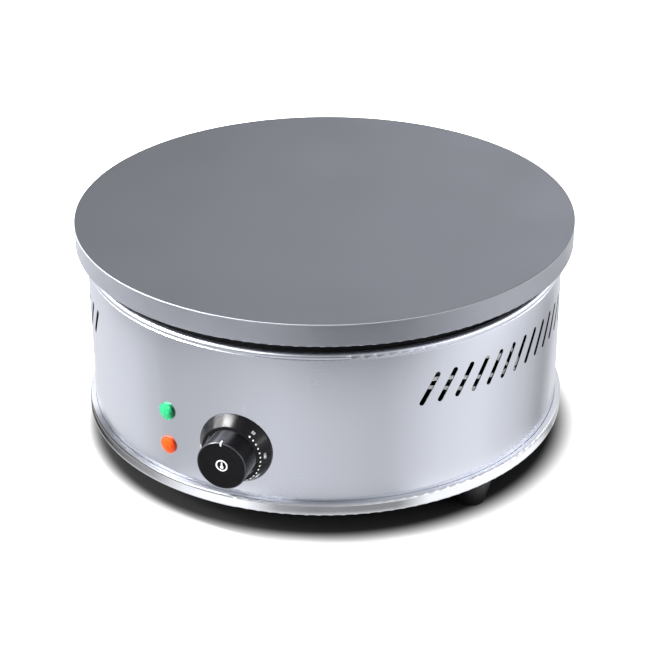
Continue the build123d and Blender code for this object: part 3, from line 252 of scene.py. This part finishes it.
iron = {
    "top": (0.123, 0.129, 0.146),
    # The rim is about three times as pale as the top: partly its turned finish, partly painted light.
    "rim": (0.365, 0.38, 0.428),
    "edge": (0.50, 0.52, 0.56),     # lighter on the corner: bare metal where it is rubbed, and a painted highlight
    "cornerAt": 0.1995,
    "rimAt": 0.1999,
    "fade": 0.0001,
    "radius": 0.2,
    "rightPaintedLight": 0.33,                   # painted light: how much paler the right of the plate is
    "back": 0.14,                   # and its back, painted light too
    "blotchScale": 11.0,
    "mottle": (0.96, 1.04),
    "roughness": (0.70, 0.80),
    "turned": -0.40,                # the rim is turned smoother than the top is ground
    "gritScale": 900.0,
    "gritDepth": 0.00003,
}


# Painted light: a tone that grows from one side of the plate to the other.
def plateLean(tree, place, share):
    return remap(tree, place, 1.0 - share, 1.0 + share, -iron["radius"], iron["radius"])


def castIron():
    material, tree, shader = newFinish("castIron", {"Metallic": 0.75})
    out = roundTheDrum(tree)[2]
    point = objectPoint(tree)
    place = addNode(tree, "SeparateXYZ", {"Vector": point}).outputs
    blotch = noise(tree, point, iron["blotchScale"], 5.0, 0.55)
    grit = noise(tree, point, iron["gritScale"], 2.0)
    # Painted light: the top is paler to the right and to the back.
    sideways = plateLean(tree, place["X"], iron["rightPaintedLight"])
    paintedPlateTone = math2(tree, "MULTIPLY", sideways, plateLean(tree, place["Y"], iron["back"]))
    mottle = fromNoise(tree, blotch, *iron["mottle"])
    tone = math2(tree, "MULTIPLY", paintedPlateTone, mottle)
    top = addNode(tree, "VectorMath", {0: iron["top"], "Scale": tone}, operation="SCALE")
    rim = addNode(tree, "VectorMath", {0: iron["rim"], "Scale": mottle}, operation="SCALE")
    corner = remap(tree, out, 0.0, 1.0, iron["cornerAt"], iron["cornerAt"] + iron["fade"])
    onRim = remap(tree, out, 0.0, 1.0, iron["rimAt"] - iron["fade"], iron["rimAt"])
    colour = addNode(tree, "MixRGB", {"Fac": corner, "Color1": top.outputs[0], "Color2": (*iron["edge"], 1)})
    colour = addNode(tree, "MixRGB", {"Fac": onRim, "Color1": colour.outputs[0], "Color2": rim.outputs[0]})
    tree.links.new(colour.outputs[0], shader.inputs["Base Color"])
    rough = fromNoise(tree, blotch, *iron["roughness"])
    turned = remap(tree, onRim, 0.0, iron["turned"])
    tree.links.new(math2(tree, "ADD", rough, turned), shader.inputs["Roughness"])
    bump(tree, shader, grit, iron["gritDepth"], 0.5)
    return material


black = {
    "colour": (0.004, 0.004, 0.005),
    "vary": 0.1,                        # how much its roughness goes up and down
    "speckScale": 260.0,
    "skinScale": 700.0,
    "skinDepth": 0.000001,
    "worn": (0.09, 0.093, 0.10),        # the knob's front edge, rubbed by fingers
    "wornShine": 0.7,
    "wornFrom": 0.0187,
    "wornDepth": 0.0006,
    "wornFade": 0.0003,
    "rings": 4200.0,                    # turning rings on the knob's face, in radians a metre
    "ringDepth": 0.00002,
}


def blackPlastic(name, roughness, gloss):
    sockets = {"Base Color": (*black["colour"], 1), "Specular IOR Level": gloss}
    material, tree, shader = newFinish(name, sockets)
    point = objectPoint(tree)
    varyRoughness(tree, shader, noise(tree, point, black["speckScale"]), roughness, black["vary"])
    bump(tree, shader, noise(tree, point, black["skinScale"], 1.0), black["skinDepth"], 0.3)
    return material


def knobPlastic(roughness, gloss):
    material, tree, shader = newFinish("knobPlastic", {"Specular IOR Level": gloss})
    low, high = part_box("knob")
    parts = fromMiddle(tree, "knob")
    flat = addNode(tree, "CombineXYZ", {"X": parts["X"], "Y": parts["Z"]})
    out = addNode(tree, "VectorMath", {0: flat.outputs[0]}, operation="LENGTH").outputs["Value"]
    wornTo = (low[1] - high[1]) / 2 + black["wornDepth"]
    atEdge = remap(tree, out, 0.0, 1.0, black["wornFrom"], black["wornFrom"] + black["wornFade"])
    atFront = remap(tree, parts["Y"], 1.0, 0.0, wornTo, wornTo + black["wornFade"])
    worn = math2(tree, "MULTIPLY", atEdge, atFront)
    colour = addNode(tree, "MixRGB", {
        "Fac": worn, "Color1": (*black["colour"], 1), "Color2": (*black["worn"], 1),
    })
    tree.links.new(colour.outputs[0], shader.inputs["Base Color"])
    tree.links.new(math2(tree, "MULTIPLY", worn, black["wornShine"]), shader.inputs["Metallic"])
    speck = noise(tree, objectPoint(tree), black["speckScale"])
    varyRoughness(tree, shader, speck, roughness, black["vary"])
    rings = math2(tree, "SINE", math2(tree, "MULTIPLY", out, black["rings"]))
    bump(tree, shader, rings, black["ringDepth"], 0.5)
    return material


rubber = {
    "colour": (0.014, 0.014, 0.016),
    "roughness": (0.40, 0.55),
    "cloudScale": 400.0,
    "grainScale": 1500.0,
    "grainDepth": 0.00002,
}


def footRubber():
    material, tree, shader = newFinish("footRubber", {"Base Color": (*rubber["colour"], 1)})
    point = objectPoint(tree)
    rough = fromNoise(tree, noise(tree, point, rubber["cloudScale"]), *rubber["roughness"])
    tree.links.new(rough, shader.inputs["Roughness"])
    bump(tree, shader, noise(tree, point, rubber["grainScale"], 2.0), rubber["grainDepth"], 0.6)
    return material


plain = {
    "cloudScale": 60.0,
    "dark": 0.88,           # tones of the wear, as shares of the colour
    "light": 1.08,
    "darkAt": 0.35,         # of the noise
    "lightAt": 0.65,
    "vary": 0.15,
}


# One even metal, plastic or cloth with fine wear, for the small parts, with a painted glow where one is
# given.
def plainFinish(name, colour, metallic, roughness, grain=500.0, depth=0.00001, paintedGlow=0.0):
    material, tree, shader = newFinish(name, {"Metallic": metallic, "Emission Strength": paintedGlow})
    point = objectPoint(tree)
    cloud = noise(tree, point, plain["cloudScale"], 4.0, 0.6)
    dark = tuple(c * plain["dark"] for c in colour)
    light = tuple(min(1.0, c * plain["light"]) for c in colour)
    shade = ramp(tree, cloud, [(plain["darkAt"], dark), (plain["lightAt"], light)])
    tree.links.new(shade, shader.inputs["Base Color"])
    if paintedGlow:
        tree.links.new(shade, shader.inputs["Emission Color"])
    varyRoughness(tree, shader, cloud, roughness, plain["vary"])
    bump(tree, shader, noise(tree, point, grain, 2.0), depth, 0.6)
    return material


lens = {
    "sockets": {"Roughness": 0.22, "IOR": 1.49, "Emission Strength": 0.30, "Specular IOR Level": 0.2},
    "flutes": 36,
    "fluteDepth": 0.00012,
    "paintedShadeAcross": (-0.001, 0.0055),        # painted shade: it darkens to the right between these
    "brightFrom": 0.45,
}


# Coloured clear plastic, lit from behind, with flutes that run out from the middle of the lens, and painted
# shade that darkens it to the right.
def lampLens(name, node, colour, dark):
    material, tree, shader = newFinish(name, lens["sockets"])
    parts = fromMiddle(tree, node)
    turn = math2(tree, "ARCTAN2", parts["Z"], parts["X"])
    flute = math2(tree, "SINE", math2(tree, "MULTIPLY", turn, lens["flutes"]))
    side = remap(tree, parts["X"], 1.0, 0.0, *lens["paintedShadeAcross"])
    shade = ramp(tree, side, [(0.0, dark), (lens["brightFrom"], colour), (1.0, colour)])
    tree.links.new(shade, shader.inputs["Base Color"])
    tree.links.new(shade, shader.inputs["Emission Color"])
    bump(tree, shader, flute, lens["fluteDepth"], 0.5)
    return material


finishes = {
    "castIron": castIron(),
    "drumSteel": polishedSteel("drumSteel", drumSteel),
    "panSteel": polishedSteel("panSteel", panSteel),
    "dialPlastic": blackPlastic("dialPlastic", 0.25, 0.26),
    "knobPlastic": knobPlastic(0.20, 0.13),
    "footRubber": footRubber(),
    "zincSteel": plainFinish("zincSteel", (0.62, 0.64, 0.66), 1.0, 0.35),
    "springSteel": plainFinish("springSteel", (0.35, 0.36, 0.38), 1.0, 0.3),
    # The heat shield is darkened near to black as painted shade, for the shade in the gap under the plate.
    "shieldPaintedDark": plainFinish("shieldPaintedDark", (0.05, 0.052, 0.055), 0.8, 0.6),
    "elementSheath": plainFinish("elementSheath", (0.10, 0.11, 0.09), 0.6, 0.55),
    "copper": plainFinish("copper", (0.72, 0.38, 0.24), 1.0, 0.32),
    "ceramic": plainFinish("ceramic", (0.82, 0.80, 0.74), 0.0, 0.35),
    "fibrePad": plainFinish("fibrePad", (0.66, 0.62, 0.52), 0.0, 0.95, 300.0, 0.0004),
    "nylon": plainFinish("nylon", (0.02, 0.02, 0.022), 0.0, 0.42),
    "brass": plainFinish("brass", (0.74, 0.56, 0.26), 1.0, 0.3),
    # The sleeves glow as painted light, so that they show in the dark inside of the drum.
    "whiteSleevePaintedGlow": plainFinish("whiteSleevePaintedGlow", (0.80, 0.81, 0.82), 0.0, 0.5, paintedGlow=0.35),
    "earthSleeve": plainFinish("earthSleeve", (0.14, 0.42, 0.08), 0.0, 0.5),
    # Each lens's second colour is its painted shade on the right.
    "greenLens": lampLens("greenLens", "lamp_lens_green", (0.015, 0.33, 0.13), (0.0, 0.07, 0.025)),
    "orangeLens": lampLens("orangeLens", "lamp_lens_orange", (0.72, 0.062, 0.001), (0.34, 0.02, 0.0)),
}

finishOfSlot = {
    "cast_iron": "castIron",
    "stainless": "drumSteel",
    "zinc_steel": "zincSteel",
    "spring_steel": "springSteel",
    "shield_alu": "shieldPaintedDark",
    "sheath": "elementSheath",
    "copper": "copper",
    "ceramic": "ceramic",
    "fibre": "fibrePad",
    "foot_rubber": "footRubber",
    "gloss_black": "knobPlastic",
    "nylon": "nylon",
    "brass": "brass",
    "lens_green": "greenLens",
    "lens_orange": "orangeLens",
    "white_sleeve": "whiteSleevePaintedGlow",
    "earth_sleeve": "earthSleeve",
}
finishOfNode = {"dial_bezel": "dialPlastic", "base_pan": "panSteel"}

for name, node in nodes.items():
    slotName = node.material_slots[0].material.name.split(".")[0]
    finish = finishOfNode.get(name, finishOfSlot[slotName])
    node.data.materials.clear()
    node.data.materials.append(finishes[finish])
print("finishes given to", len(nodes), "nodes")


# White print on the dial and the knob.

def finishPiece(name, shape, material, body):
    bmesh.ops.recalc_face_normals(shape, faces=shape.faces)
    mesh = bpy.data.meshes.new(name)
    shape.to_mesh(mesh)
    shape.free()
    mesh.materials.append(material)
    piece = bpy.data.objects.new(name, mesh)
    scene.collection.objects.link(piece)
    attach(piece, body)


spotSides = 16


# A round spot of ink, half sunk. A stretch pulls its top half up into a bar with round ends.
def inkSpot(shape, radius, thick, place, stretch=0.0):
    made = bmesh.ops.create_cone(
        shape, cap_ends=True, segments=spotSides, radius1=radius, radius2=radius, depth=2 * thick,
        matrix=Matrix.Rotation(math.pi / spotSides, 4, "Z"),
    )
    spot = made["verts"]
    bmesh.ops.translate(shape, verts=[v for v in spot if v.co.y > 0], vec=(0, stretch, 0))
    bmesh.ops.transform(shape, matrix=place, verts=spot)


dial = {
    "dots": 26,
    "pitch": 9.0,           # degrees from dot to dot
    "firstDot": 41.0,       # clockwise from the top
    "dotRadius": 0.72 * mm,
    "dotInset": 1.05 * mm,  # from the front edge, down the cone
    "numbers": (50, 100, 150, 200, 250, 300),
    "numberHeight": 2.3 * mm,
    "figureShare": 0.7,     # of the line's height, which a figure takes up
    "numberInset": 5.2 * mm,
    "flare": 5.8 * mm,      # the cone's foot is wider than its front
    "depth": 10.0 * mm,     # from its front edge back to its foot
    "ink": 0.06 * mm,
    "weld": 0.001 * mm,
}

dialLow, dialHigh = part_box("dial_bezel")
dialRadius = (dialHigh[0] - dialLow[0]) / 2
dialMiddle = Vector((0, dialLow[1], (dialLow[2] + dialHigh[2]) / 2))


def dialPlace(clock, inset):
    turn = math.radians(clock)
    spoke = Vector((math.sin(turn), 0, math.cos(turn)))
    sideways = Vector((math.cos(turn), 0, -math.sin(turn)))
    downCone = (spoke * dial["flare"] + Vector((0, dial["depth"], 0))).normalized()
    out = sideways.cross(downCone)
    place = Matrix((sideways, downCone, out)).transposed().to_4x4()
    place.translation = dialMiddle + spoke * (dialRadius - dial["flare"]) + downCone * inset
    return place


# Flat figures, bent round the cone with their tops outwards.
def addNumber(shape, number, clock):
    curve = bpy.data.curves.new("number", "FONT")
    curve.body = str(number)
    curve.size = dial["numberHeight"] / dial["figureShare"]
    curve.align_x = "CENTER"
    curve.align_y = "CENTER"
    curve.extrude = dial["ink"]
    text = bpy.data.objects.new("number", curve)
    flat = bpy.data.meshes.new_from_object(text)
    radius = dialRadius - dial["flare"] / 2
    for vertex in flat.vertices:
        x, y, z = vertex.co
        place = dialPlace(clock + math.degrees(x / radius), dial["numberInset"] + y)
        vertex.co = place @ Vector((0, 0, z))
    shape.from_mesh(flat)
    bpy.data.objects.remove(text)
    bpy.data.curves.remove(curve)
    bpy.data.meshes.remove(flat)


def makeDialScale(ink):
    shape = bmesh.new()
    for dot in range(dial["dots"]):
        place = dialPlace(dial["firstDot"] + dot * dial["pitch"], dial["dotInset"])
        inkSpot(shape, dial["dotRadius"], dial["ink"], place)
    span = (dial["dots"] - 1) * dial["pitch"]
    for step, number in enumerate(dial["numbers"]):
        addNumber(shape, number, dial["firstDot"] + span * step / (len(dial["numbers"]) - 1))
    bmesh.ops.remove_doubles(shape, verts=shape.verts, dist=dial["weld"])
    finishPiece("dial_scale", shape, ink, "housing")


knobMarks = {
    "tickWidth": 1.0 * mm,
    "tickInset": 2.7 * mm,      # its inner end, from the knob's edge
    "tickDrop": 2.2 * mm,       # its length on the knob's side
    "edgeRound": 1.2 * mm,
    "edgeSteps": 6,
    "dish": 0.7 * mm,           # depth of the face's middle
    "ringRadius": 4.7 * mm,
    "ringWidth": 1.0 * mm,
    "ringSteps": 40,
    "bulbRadius": 1.3 * mm,
    "bulbDrop": 1.3 * mm,
    "stemRadius": 0.6 * mm,
    "stemLength": 3.4 * mm,
    "ink": 0.06 * mm,
}


# A strip from the knob's face, over its round edge, to its side.
def addTick(shape, middle, radius):
    lift = knobMarks["ink"]
    turn = knobMarks["edgeRound"]
    half = knobMarks["tickWidth"] / 2
    inner = middle.z + radius - knobMarks["tickInset"]
    ends = [shape.verts.new((x, middle.y - lift, inner)) for x in (-half, half)]
    edge = shape.edges.new(ends)
    face = bmesh.ops.extrude_edge_only(shape, edges=[edge])["geom"]
    corner = [g for g in face if isinstance(g, bmesh.types.BMVert)]
    bmesh.ops.translate(shape, verts=corner, vec=(0, 0, knobMarks["tickInset"] - turn))
    lines = [g for g in face if isinstance(g, bmesh.types.BMEdge)]
    front = [line for line in lines if all(v in corner for v in line.verts)]
    bent = bmesh.ops.spin(
        shape, geom=front + corner, cent=(0, middle.y + turn, middle.z + radius - turn),
        axis=(-1, 0, 0), angle=math.pi / 2, steps=knobMarks["edgeSteps"], use_merge=False,
    )["geom_last"]
    last = [g for g in bent if isinstance(g, bmesh.types.BMEdge)]
    side = bmesh.ops.extrude_edge_only(shape, edges=last)["geom"]
    rear = [g for g in side if isinstance(g, bmesh.types.BMVert)]
    bmesh.ops.translate(shape, verts=rear, vec=(0, knobMarks["tickDrop"], 0))
    bmesh.ops.recalc_face_normals(shape, faces=shape.faces)
    bmesh.ops.solidify(shape, geom=shape.faces[:], thickness=2 * lift)


# A plain thermometer in a ring, on the flat middle of the face.
def addHeatSign(shape, middle):
    centre = Matrix.Translation(middle + Vector((0, knobMarks["dish"], 0)))
    face = centre @ Matrix.Rotation(math.pi / 2, 4, "X")
    thick = knobMarks["ink"]
    outer = knobMarks["ringRadius"]
    inner = outer - knobMarks["ringWidth"]
    section = ((inner, -thick), (outer, -thick), (outer, thick), (inner, thick))
    corners = [shape.verts.new((r, 0, z)) for r, z in section]
    edges = [shape.edges.new((a, b)) for a, b in zip(corners, corners[1:] + corners[:1])]
    bmesh.ops.spin(
        shape, geom=corners + edges, cent=(0, 0, 0), axis=(0, 0, 1), angle=2 * math.pi,
        steps=knobMarks["ringSteps"], use_merge=True,
    )
    bmesh.ops.transform(shape, matrix=face, verts=shape.verts)
    low = Matrix.Translation((0, -knobMarks["bulbDrop"], 0))
    inkSpot(shape, knobMarks["bulbRadius"], thick, face @ low)
    inkSpot(shape, knobMarks["stemRadius"], thick, face @ low, knobMarks["stemLength"])


def makeKnobMarks(ink):
    low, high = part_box("knob")
    radius = (high[0] - low[0]) / 2
    middle = Vector((0, low[1], (low[2] + high[2]) / 2))
    sign = bmesh.new()
    addHeatSign(sign, middle)
    finishPiece("knob_sign", sign, ink, "control")
    tick = bmesh.new()
    addTick(tick, middle, radius)
    finishPiece("knob_tick", tick, ink, "control")


# The polished sheet shows no image of the dial and the knob.
for name in ("dial_bezel", "knob"):
    nodes[name].visible_glossy = False

# The white print glows a little as painted light, to look whiter where little light falls.
ink = plainFinish("printInkPaintedGlow", (0.86, 0.87, 0.88), 0.0, 0.45, 900.0, 0.000004, 0.3)
makeDialScale(ink)
makeKnobMarks(ink)
print("dial and knob printed")


# Floor, sky and lamps.

studio = {
    "floorSize": 8.0,
    "fanMiddle": 20.5,      # the camera's bearing: the painted fans on the floor open out from it, and the painted shadow widens away from it
    "shadowFrom": 0.181,    # the painted shadow on the paper clears to white between these radii
    "shadowTo": 0.213,
    "shadowWiden": 0.007,   # and this much further out at the left and the right, as seen from the camera's bearing
    "paintedShadowTone": 0.04,    # painted shadow: how pale the paper is under the object
    "paper": 0.92,          # and away from it
    "mirrorFrom": 0.196,    # painted shadow in the mirrored floor: it goes from black to its fans between these radii
    "mirrorTo": 0.206,
    "darkFront": 0.24,      # what the steel mirrors of the dark end of the room, where the camera stands
    "darkAt": (-0.72, -0.45),
    "ceiling": 0.42,        # and its share of light overhead
    "ceilingAt": (0.6, 0.85),
    "skyTop": 0.42,         # what the sky gives to matt surfaces, overhead
    "skyEdge": 0.16,        # and level with the floor
    "skyTopAt": 0.8,
}

# Painted reflection: what the steel mirrors, by the bearing of the steel from the front in degrees.
drumPaintedReflection = [
    (-42, 0.85), (-28, 0.8), (-17, 0.55), (-4, 0.6), (10, 0.75), (33, 0.6), (46, 0.85), (57, 0.9), (76, 0.6),
    (86, 0.35), (97, 0.85), (120, 1.0),
]
panPaintedReflection = [
    (-90, 0.1), (-56, 0.0), (-47, 0.0), (-22, 0.4), (-12, 1.1), (-6, 1.3), (3, 1.3), (10, 0.4), (18, 0.25),
    (36, 0.3), (43, 1.2), (75, 1.3), (82, 1.0), (90, 0.4), (120, 1.1),
]
rimPaintedReflection = [
    (-60, 1.3), (-32, 0.3), (-20, 0.2), (4, 0.4), (22, 0.0), (38, 0.1), (50, 0.85), (60, 1.2), (80, 0.8),
    (90, 0.85), (100, 1.5),
]

fans = {
    "farSpread": 2.0,       # how much wider than its patch of steel a fan is, far away
    "nearSpread": 0.829,    # and how much less at the near radius
    "nearRadius": 0.22,
    "nearPower": 1.61,      # how fast that changes on the way out
    "edgeTurn": 1.25,       # the same for the layers' edges, at any distance
}
# Each layer begins at a radius at the sides and in front, comes in over a strip, and has its own tones.
paintedFanLayers = [
    ((0.1903, 0.2337), (-0.0005, 0.001), panPaintedReflection),
    ((0.1935, 0.247), (-0.002, 0.003), drumPaintedReflection),
    ((0.421, 0.490), (-0.01, 0.01), rimPaintedReflection),
]


# Painted reflection: the floor as the steel mirrors it, soft darker fans which open out from the object, laid
# out from the camera's bearing, that put bands of painted reflection on the steel.
def fanTones(tree, ahead, out):
    near = math2(tree, "DIVIDE", fans["nearRadius"], out)
    near = math2(tree, "POWER", near, fans["nearPower"])
    spread = math2(tree, "SUBTRACT", fans["farSpread"], math2(tree, "MULTIPLY", near, fans["nearSpread"]))
    turn = math2(tree, "ADD", math2(tree, "DIVIDE", ahead, spread), studio["fanMiddle"])
    around = math2(tree, "MULTIPLY", ahead, math.pi / 180 / fans["edgeTurn"])
    inFront = math2(tree, "COSINE", around)
    tones = (1, 1, 1, 1)
    for edges, strip, stops in paintedFanLayers:
        past = math2(tree, "SUBTRACT", out, remap(tree, inFront, *edges))
        tones = addNode(tree, "MixRGB", {
            "Fac": remap(tree, past, 0.0, 1.0, *strip),
            "Color1": tones,
            "Color2": bearingRamp(tree, turn, stops),
        }).outputs[0]
    return tones


def makeFloor():
    shape = bmesh.new()
    bmesh.ops.create_grid(shape, x_segments=1, y_segments=1, size=studio["floorSize"] / 2)
    mesh = bpy.data.meshes.new("floor")
    shape.to_mesh(mesh)
    shape.free()
    floor = bpy.data.objects.new("floor", mesh)
    scene.collection.objects.link(floor)
    material = bpy.data.materials.new("floorPaper")
    material.use_nodes = True
    tree = material.node_tree
    tree.nodes.clear()
    place = addNode(tree, "TexCoord")
    parts = addNode(tree, "SeparateXYZ", {"Vector": place.outputs["Object"]})
    out = addNode(tree, "VectorMath", {0: place.outputs["Object"]}, operation="LENGTH").outputs["Value"]
    rays = addNode(tree, "LightPath").outputs
    bearing = math2(tree, "ARCTAN2", parts.outputs["X"], math2(tree, "MULTIPLY", parts.outputs["Y"], -1.0))
    ahead = math2(tree, "SUBTRACT", math2(tree, "MULTIPLY", bearing, 180 / math.pi), studio["fanMiddle"])
    # The paper is painted dark under the object as a painted shadow, and seen by the camera goes to plain
    # white away from the object, less soon at the sides.
    sideways = math2(tree, "SINE", math2(tree, "MULTIPLY", ahead, math.pi / 180))
    widened = math2(tree, "MULTIPLY", math2(tree, "MULTIPLY", sideways, sideways), studio["shadowWiden"])
    clear = addNode(tree, "MapRange", {
        "Value": math2(tree, "SUBTRACT", out, widened),
        "From Min": studio["shadowFrom"],
        "From Max": studio["shadowTo"],
    }, interpolation_type="SMOOTHSTEP").outputs["Result"]
    paper = remap(tree, clear, studio["paintedShadowTone"], studio["paper"])
    paper = addNode(tree, "CombineColor", {0: paper, 1: paper, 2: paper})
    matt = addNode(tree, "BsdfDiffuse", {"Color": paper.outputs[0]})
    seen = addNode(tree, "Emission", {"Strength": math2(tree, "MULTIPLY", clear, rays["Is Camera Ray"])})
    lit = addNode(tree, "AddShader", {0: matt.outputs[0], 1: seen.outputs[0]})
    # Painted shadow: the floor seen in mirror rays is black under the object.
    shade = remap(tree, out, 0.0, 1.0, studio["mirrorFrom"], studio["mirrorTo"])
    mirrored = addNode(tree, "Emission", {"Color": fanTones(tree, ahead, out), "Strength": shade})
    either = addNode(tree, "MixShader", {0: rays["Is Glossy Ray"], 1: lit.outputs[0], 2: mirrored.outputs[0]})
    addNode(tree, "OutputMaterial", {"Surface": either.outputs[0]})
    mesh.materials.append(material)


def makeSky():
    world = bpy.data.worlds.new("whiteStudio")
    scene.world = world
    world.use_nodes = True
    tree = world.node_tree
    tree.nodes.clear()
    rays = addNode(tree, "LightPath").outputs
    clear = math2(tree, "MAXIMUM", rays["Is Camera Ray"], rays["Is Transmission Ray"])
    toSky = addNode(tree, "TexCoord").outputs["Generated"]
    parts = addNode(tree, "SeparateXYZ", {"Vector": toSky})
    matt = remap(tree, parts.outputs["Z"], studio["skyEdge"], studio["skyTop"], 0.0, studio["skyTopAt"])
    room = remap(tree, parts.outputs["Y"], studio["darkFront"], 1.0, *studio["darkAt"])
    overhead = remap(tree, parts.outputs["Z"], 1.0, studio["ceiling"], *studio["ceilingAt"])
    room = math2(tree, "MULTIPLY", room, overhead)
    strength = addNode(tree, "Mix", {0: rays["Is Glossy Ray"], 2: matt, 3: room})
    strength = addNode(tree, "Mix", {0: clear, 2: strength.outputs[0], 3: 1.0})
    sky = addNode(tree, "Background", {"Color": (1, 1, 1, 1), "Strength": strength.outputs[0]})
    addNode(tree, "OutputWorld", {"Surface": sky.outputs[0]})


knobFront = (0, -0.21, 0.09)
drumTop = (0, 0, 0.15)
keyAlong = (-0.714, 0.279, -0.641)
lamps = [
    # A long strip, whose long side slopes down to the left, and its brighter middle.
    {"name": "keyLamp", "place": (-1.45, -0.134, 1.74), "aim": knobFront, "size": (2.34, 0.12), "power": 30.0,
     "along": keyAlong},
    {"name": "peakLamp", "place": (-1.12, -0.23, 1.92), "aim": knobFront, "size": (0.9, 0.18), "power": 42.0,
     "along": keyAlong},
    # Picks out the knob's front edge.
    {"name": "edgeLamp", "place": (-1.35, -0.87, 1.08), "aim": knobFront, "size": (0.6, 0.3), "power": 36.0},
    {"name": "fillLamp", "place": (-1.05, -2.05, 1.46), "aim": knobFront, "size": (2.0, 0.4), "power": 24.0},
    # Two low strips for the rolled edge.
    {"name": "lowLamp", "place": (-1.95, -1.40, 0.75), "aim": drumTop, "size": (1.5, 0.3), "power": 12.0},
    {"name": "lowLamp", "place": (2.32, 0.60, 0.75), "aim": drumTop, "size": (2.8, 0.3), "power": 18.0},
]


# A lamp's long side lies level, or along its own line.
def addLamp(look):
    data = bpy.data.lights.new(look["name"], "AREA")
    data.shape = "RECTANGLE"
    data.size, data.size_y = look["size"]
    data.energy = look["power"]
    lamp = bpy.data.objects.new(look["name"], data)
    lamp.location = look["place"]
    behind = (Vector(look["place"]) - Vector(look["aim"])).normalized()
    side = Vector(look["along"]) if "along" in look else Vector((0, 0, 1)).cross(behind)
    side = (side - behind * side.dot(behind)).normalized()
    lamp.rotation_euler = Matrix((side, behind.cross(side), behind)).transposed().to_euler()
    lamp.visible_camera = False
    scene.collection.objects.link(lamp)


# Camera.

view = {
    "bearing": 20.5,        # degrees from the front towards +X
    "distance": 1.3779,
    "height": 0.8105,
    "pitch": 27.86,         # degrees below level
    "roll": -0.32,
    "focalLength": 1880,    # in pixels of the picture
    "pictureWidth": 650,
    "sensor": 36.0,
}


def addCamera():
    data = bpy.data.cameras.new("camera")
    data.sensor_width = view["sensor"]
    data.lens = view["focalLength"] / view["pictureWidth"] * view["sensor"]
    data.clip_end = 100
    eye = bpy.data.objects.new("camera", data)
    bearing = math.radians(view["bearing"])
    away = view["distance"]
    eye.location = (away * math.sin(bearing), -away * math.cos(bearing), view["height"])
    turn = Euler((math.radians(90 - view["pitch"]), 0, bearing)).to_quaternion()
    eye.rotation_euler = (turn @ Quaternion((0, 0, 1), math.radians(view["roll"]))).to_euler()
    scene.collection.objects.link(eye)
    scene.camera = eye


makeFloor()
makeSky()
for look in lamps:
    addLamp(look)
addCamera()
print("studio and camera ready")
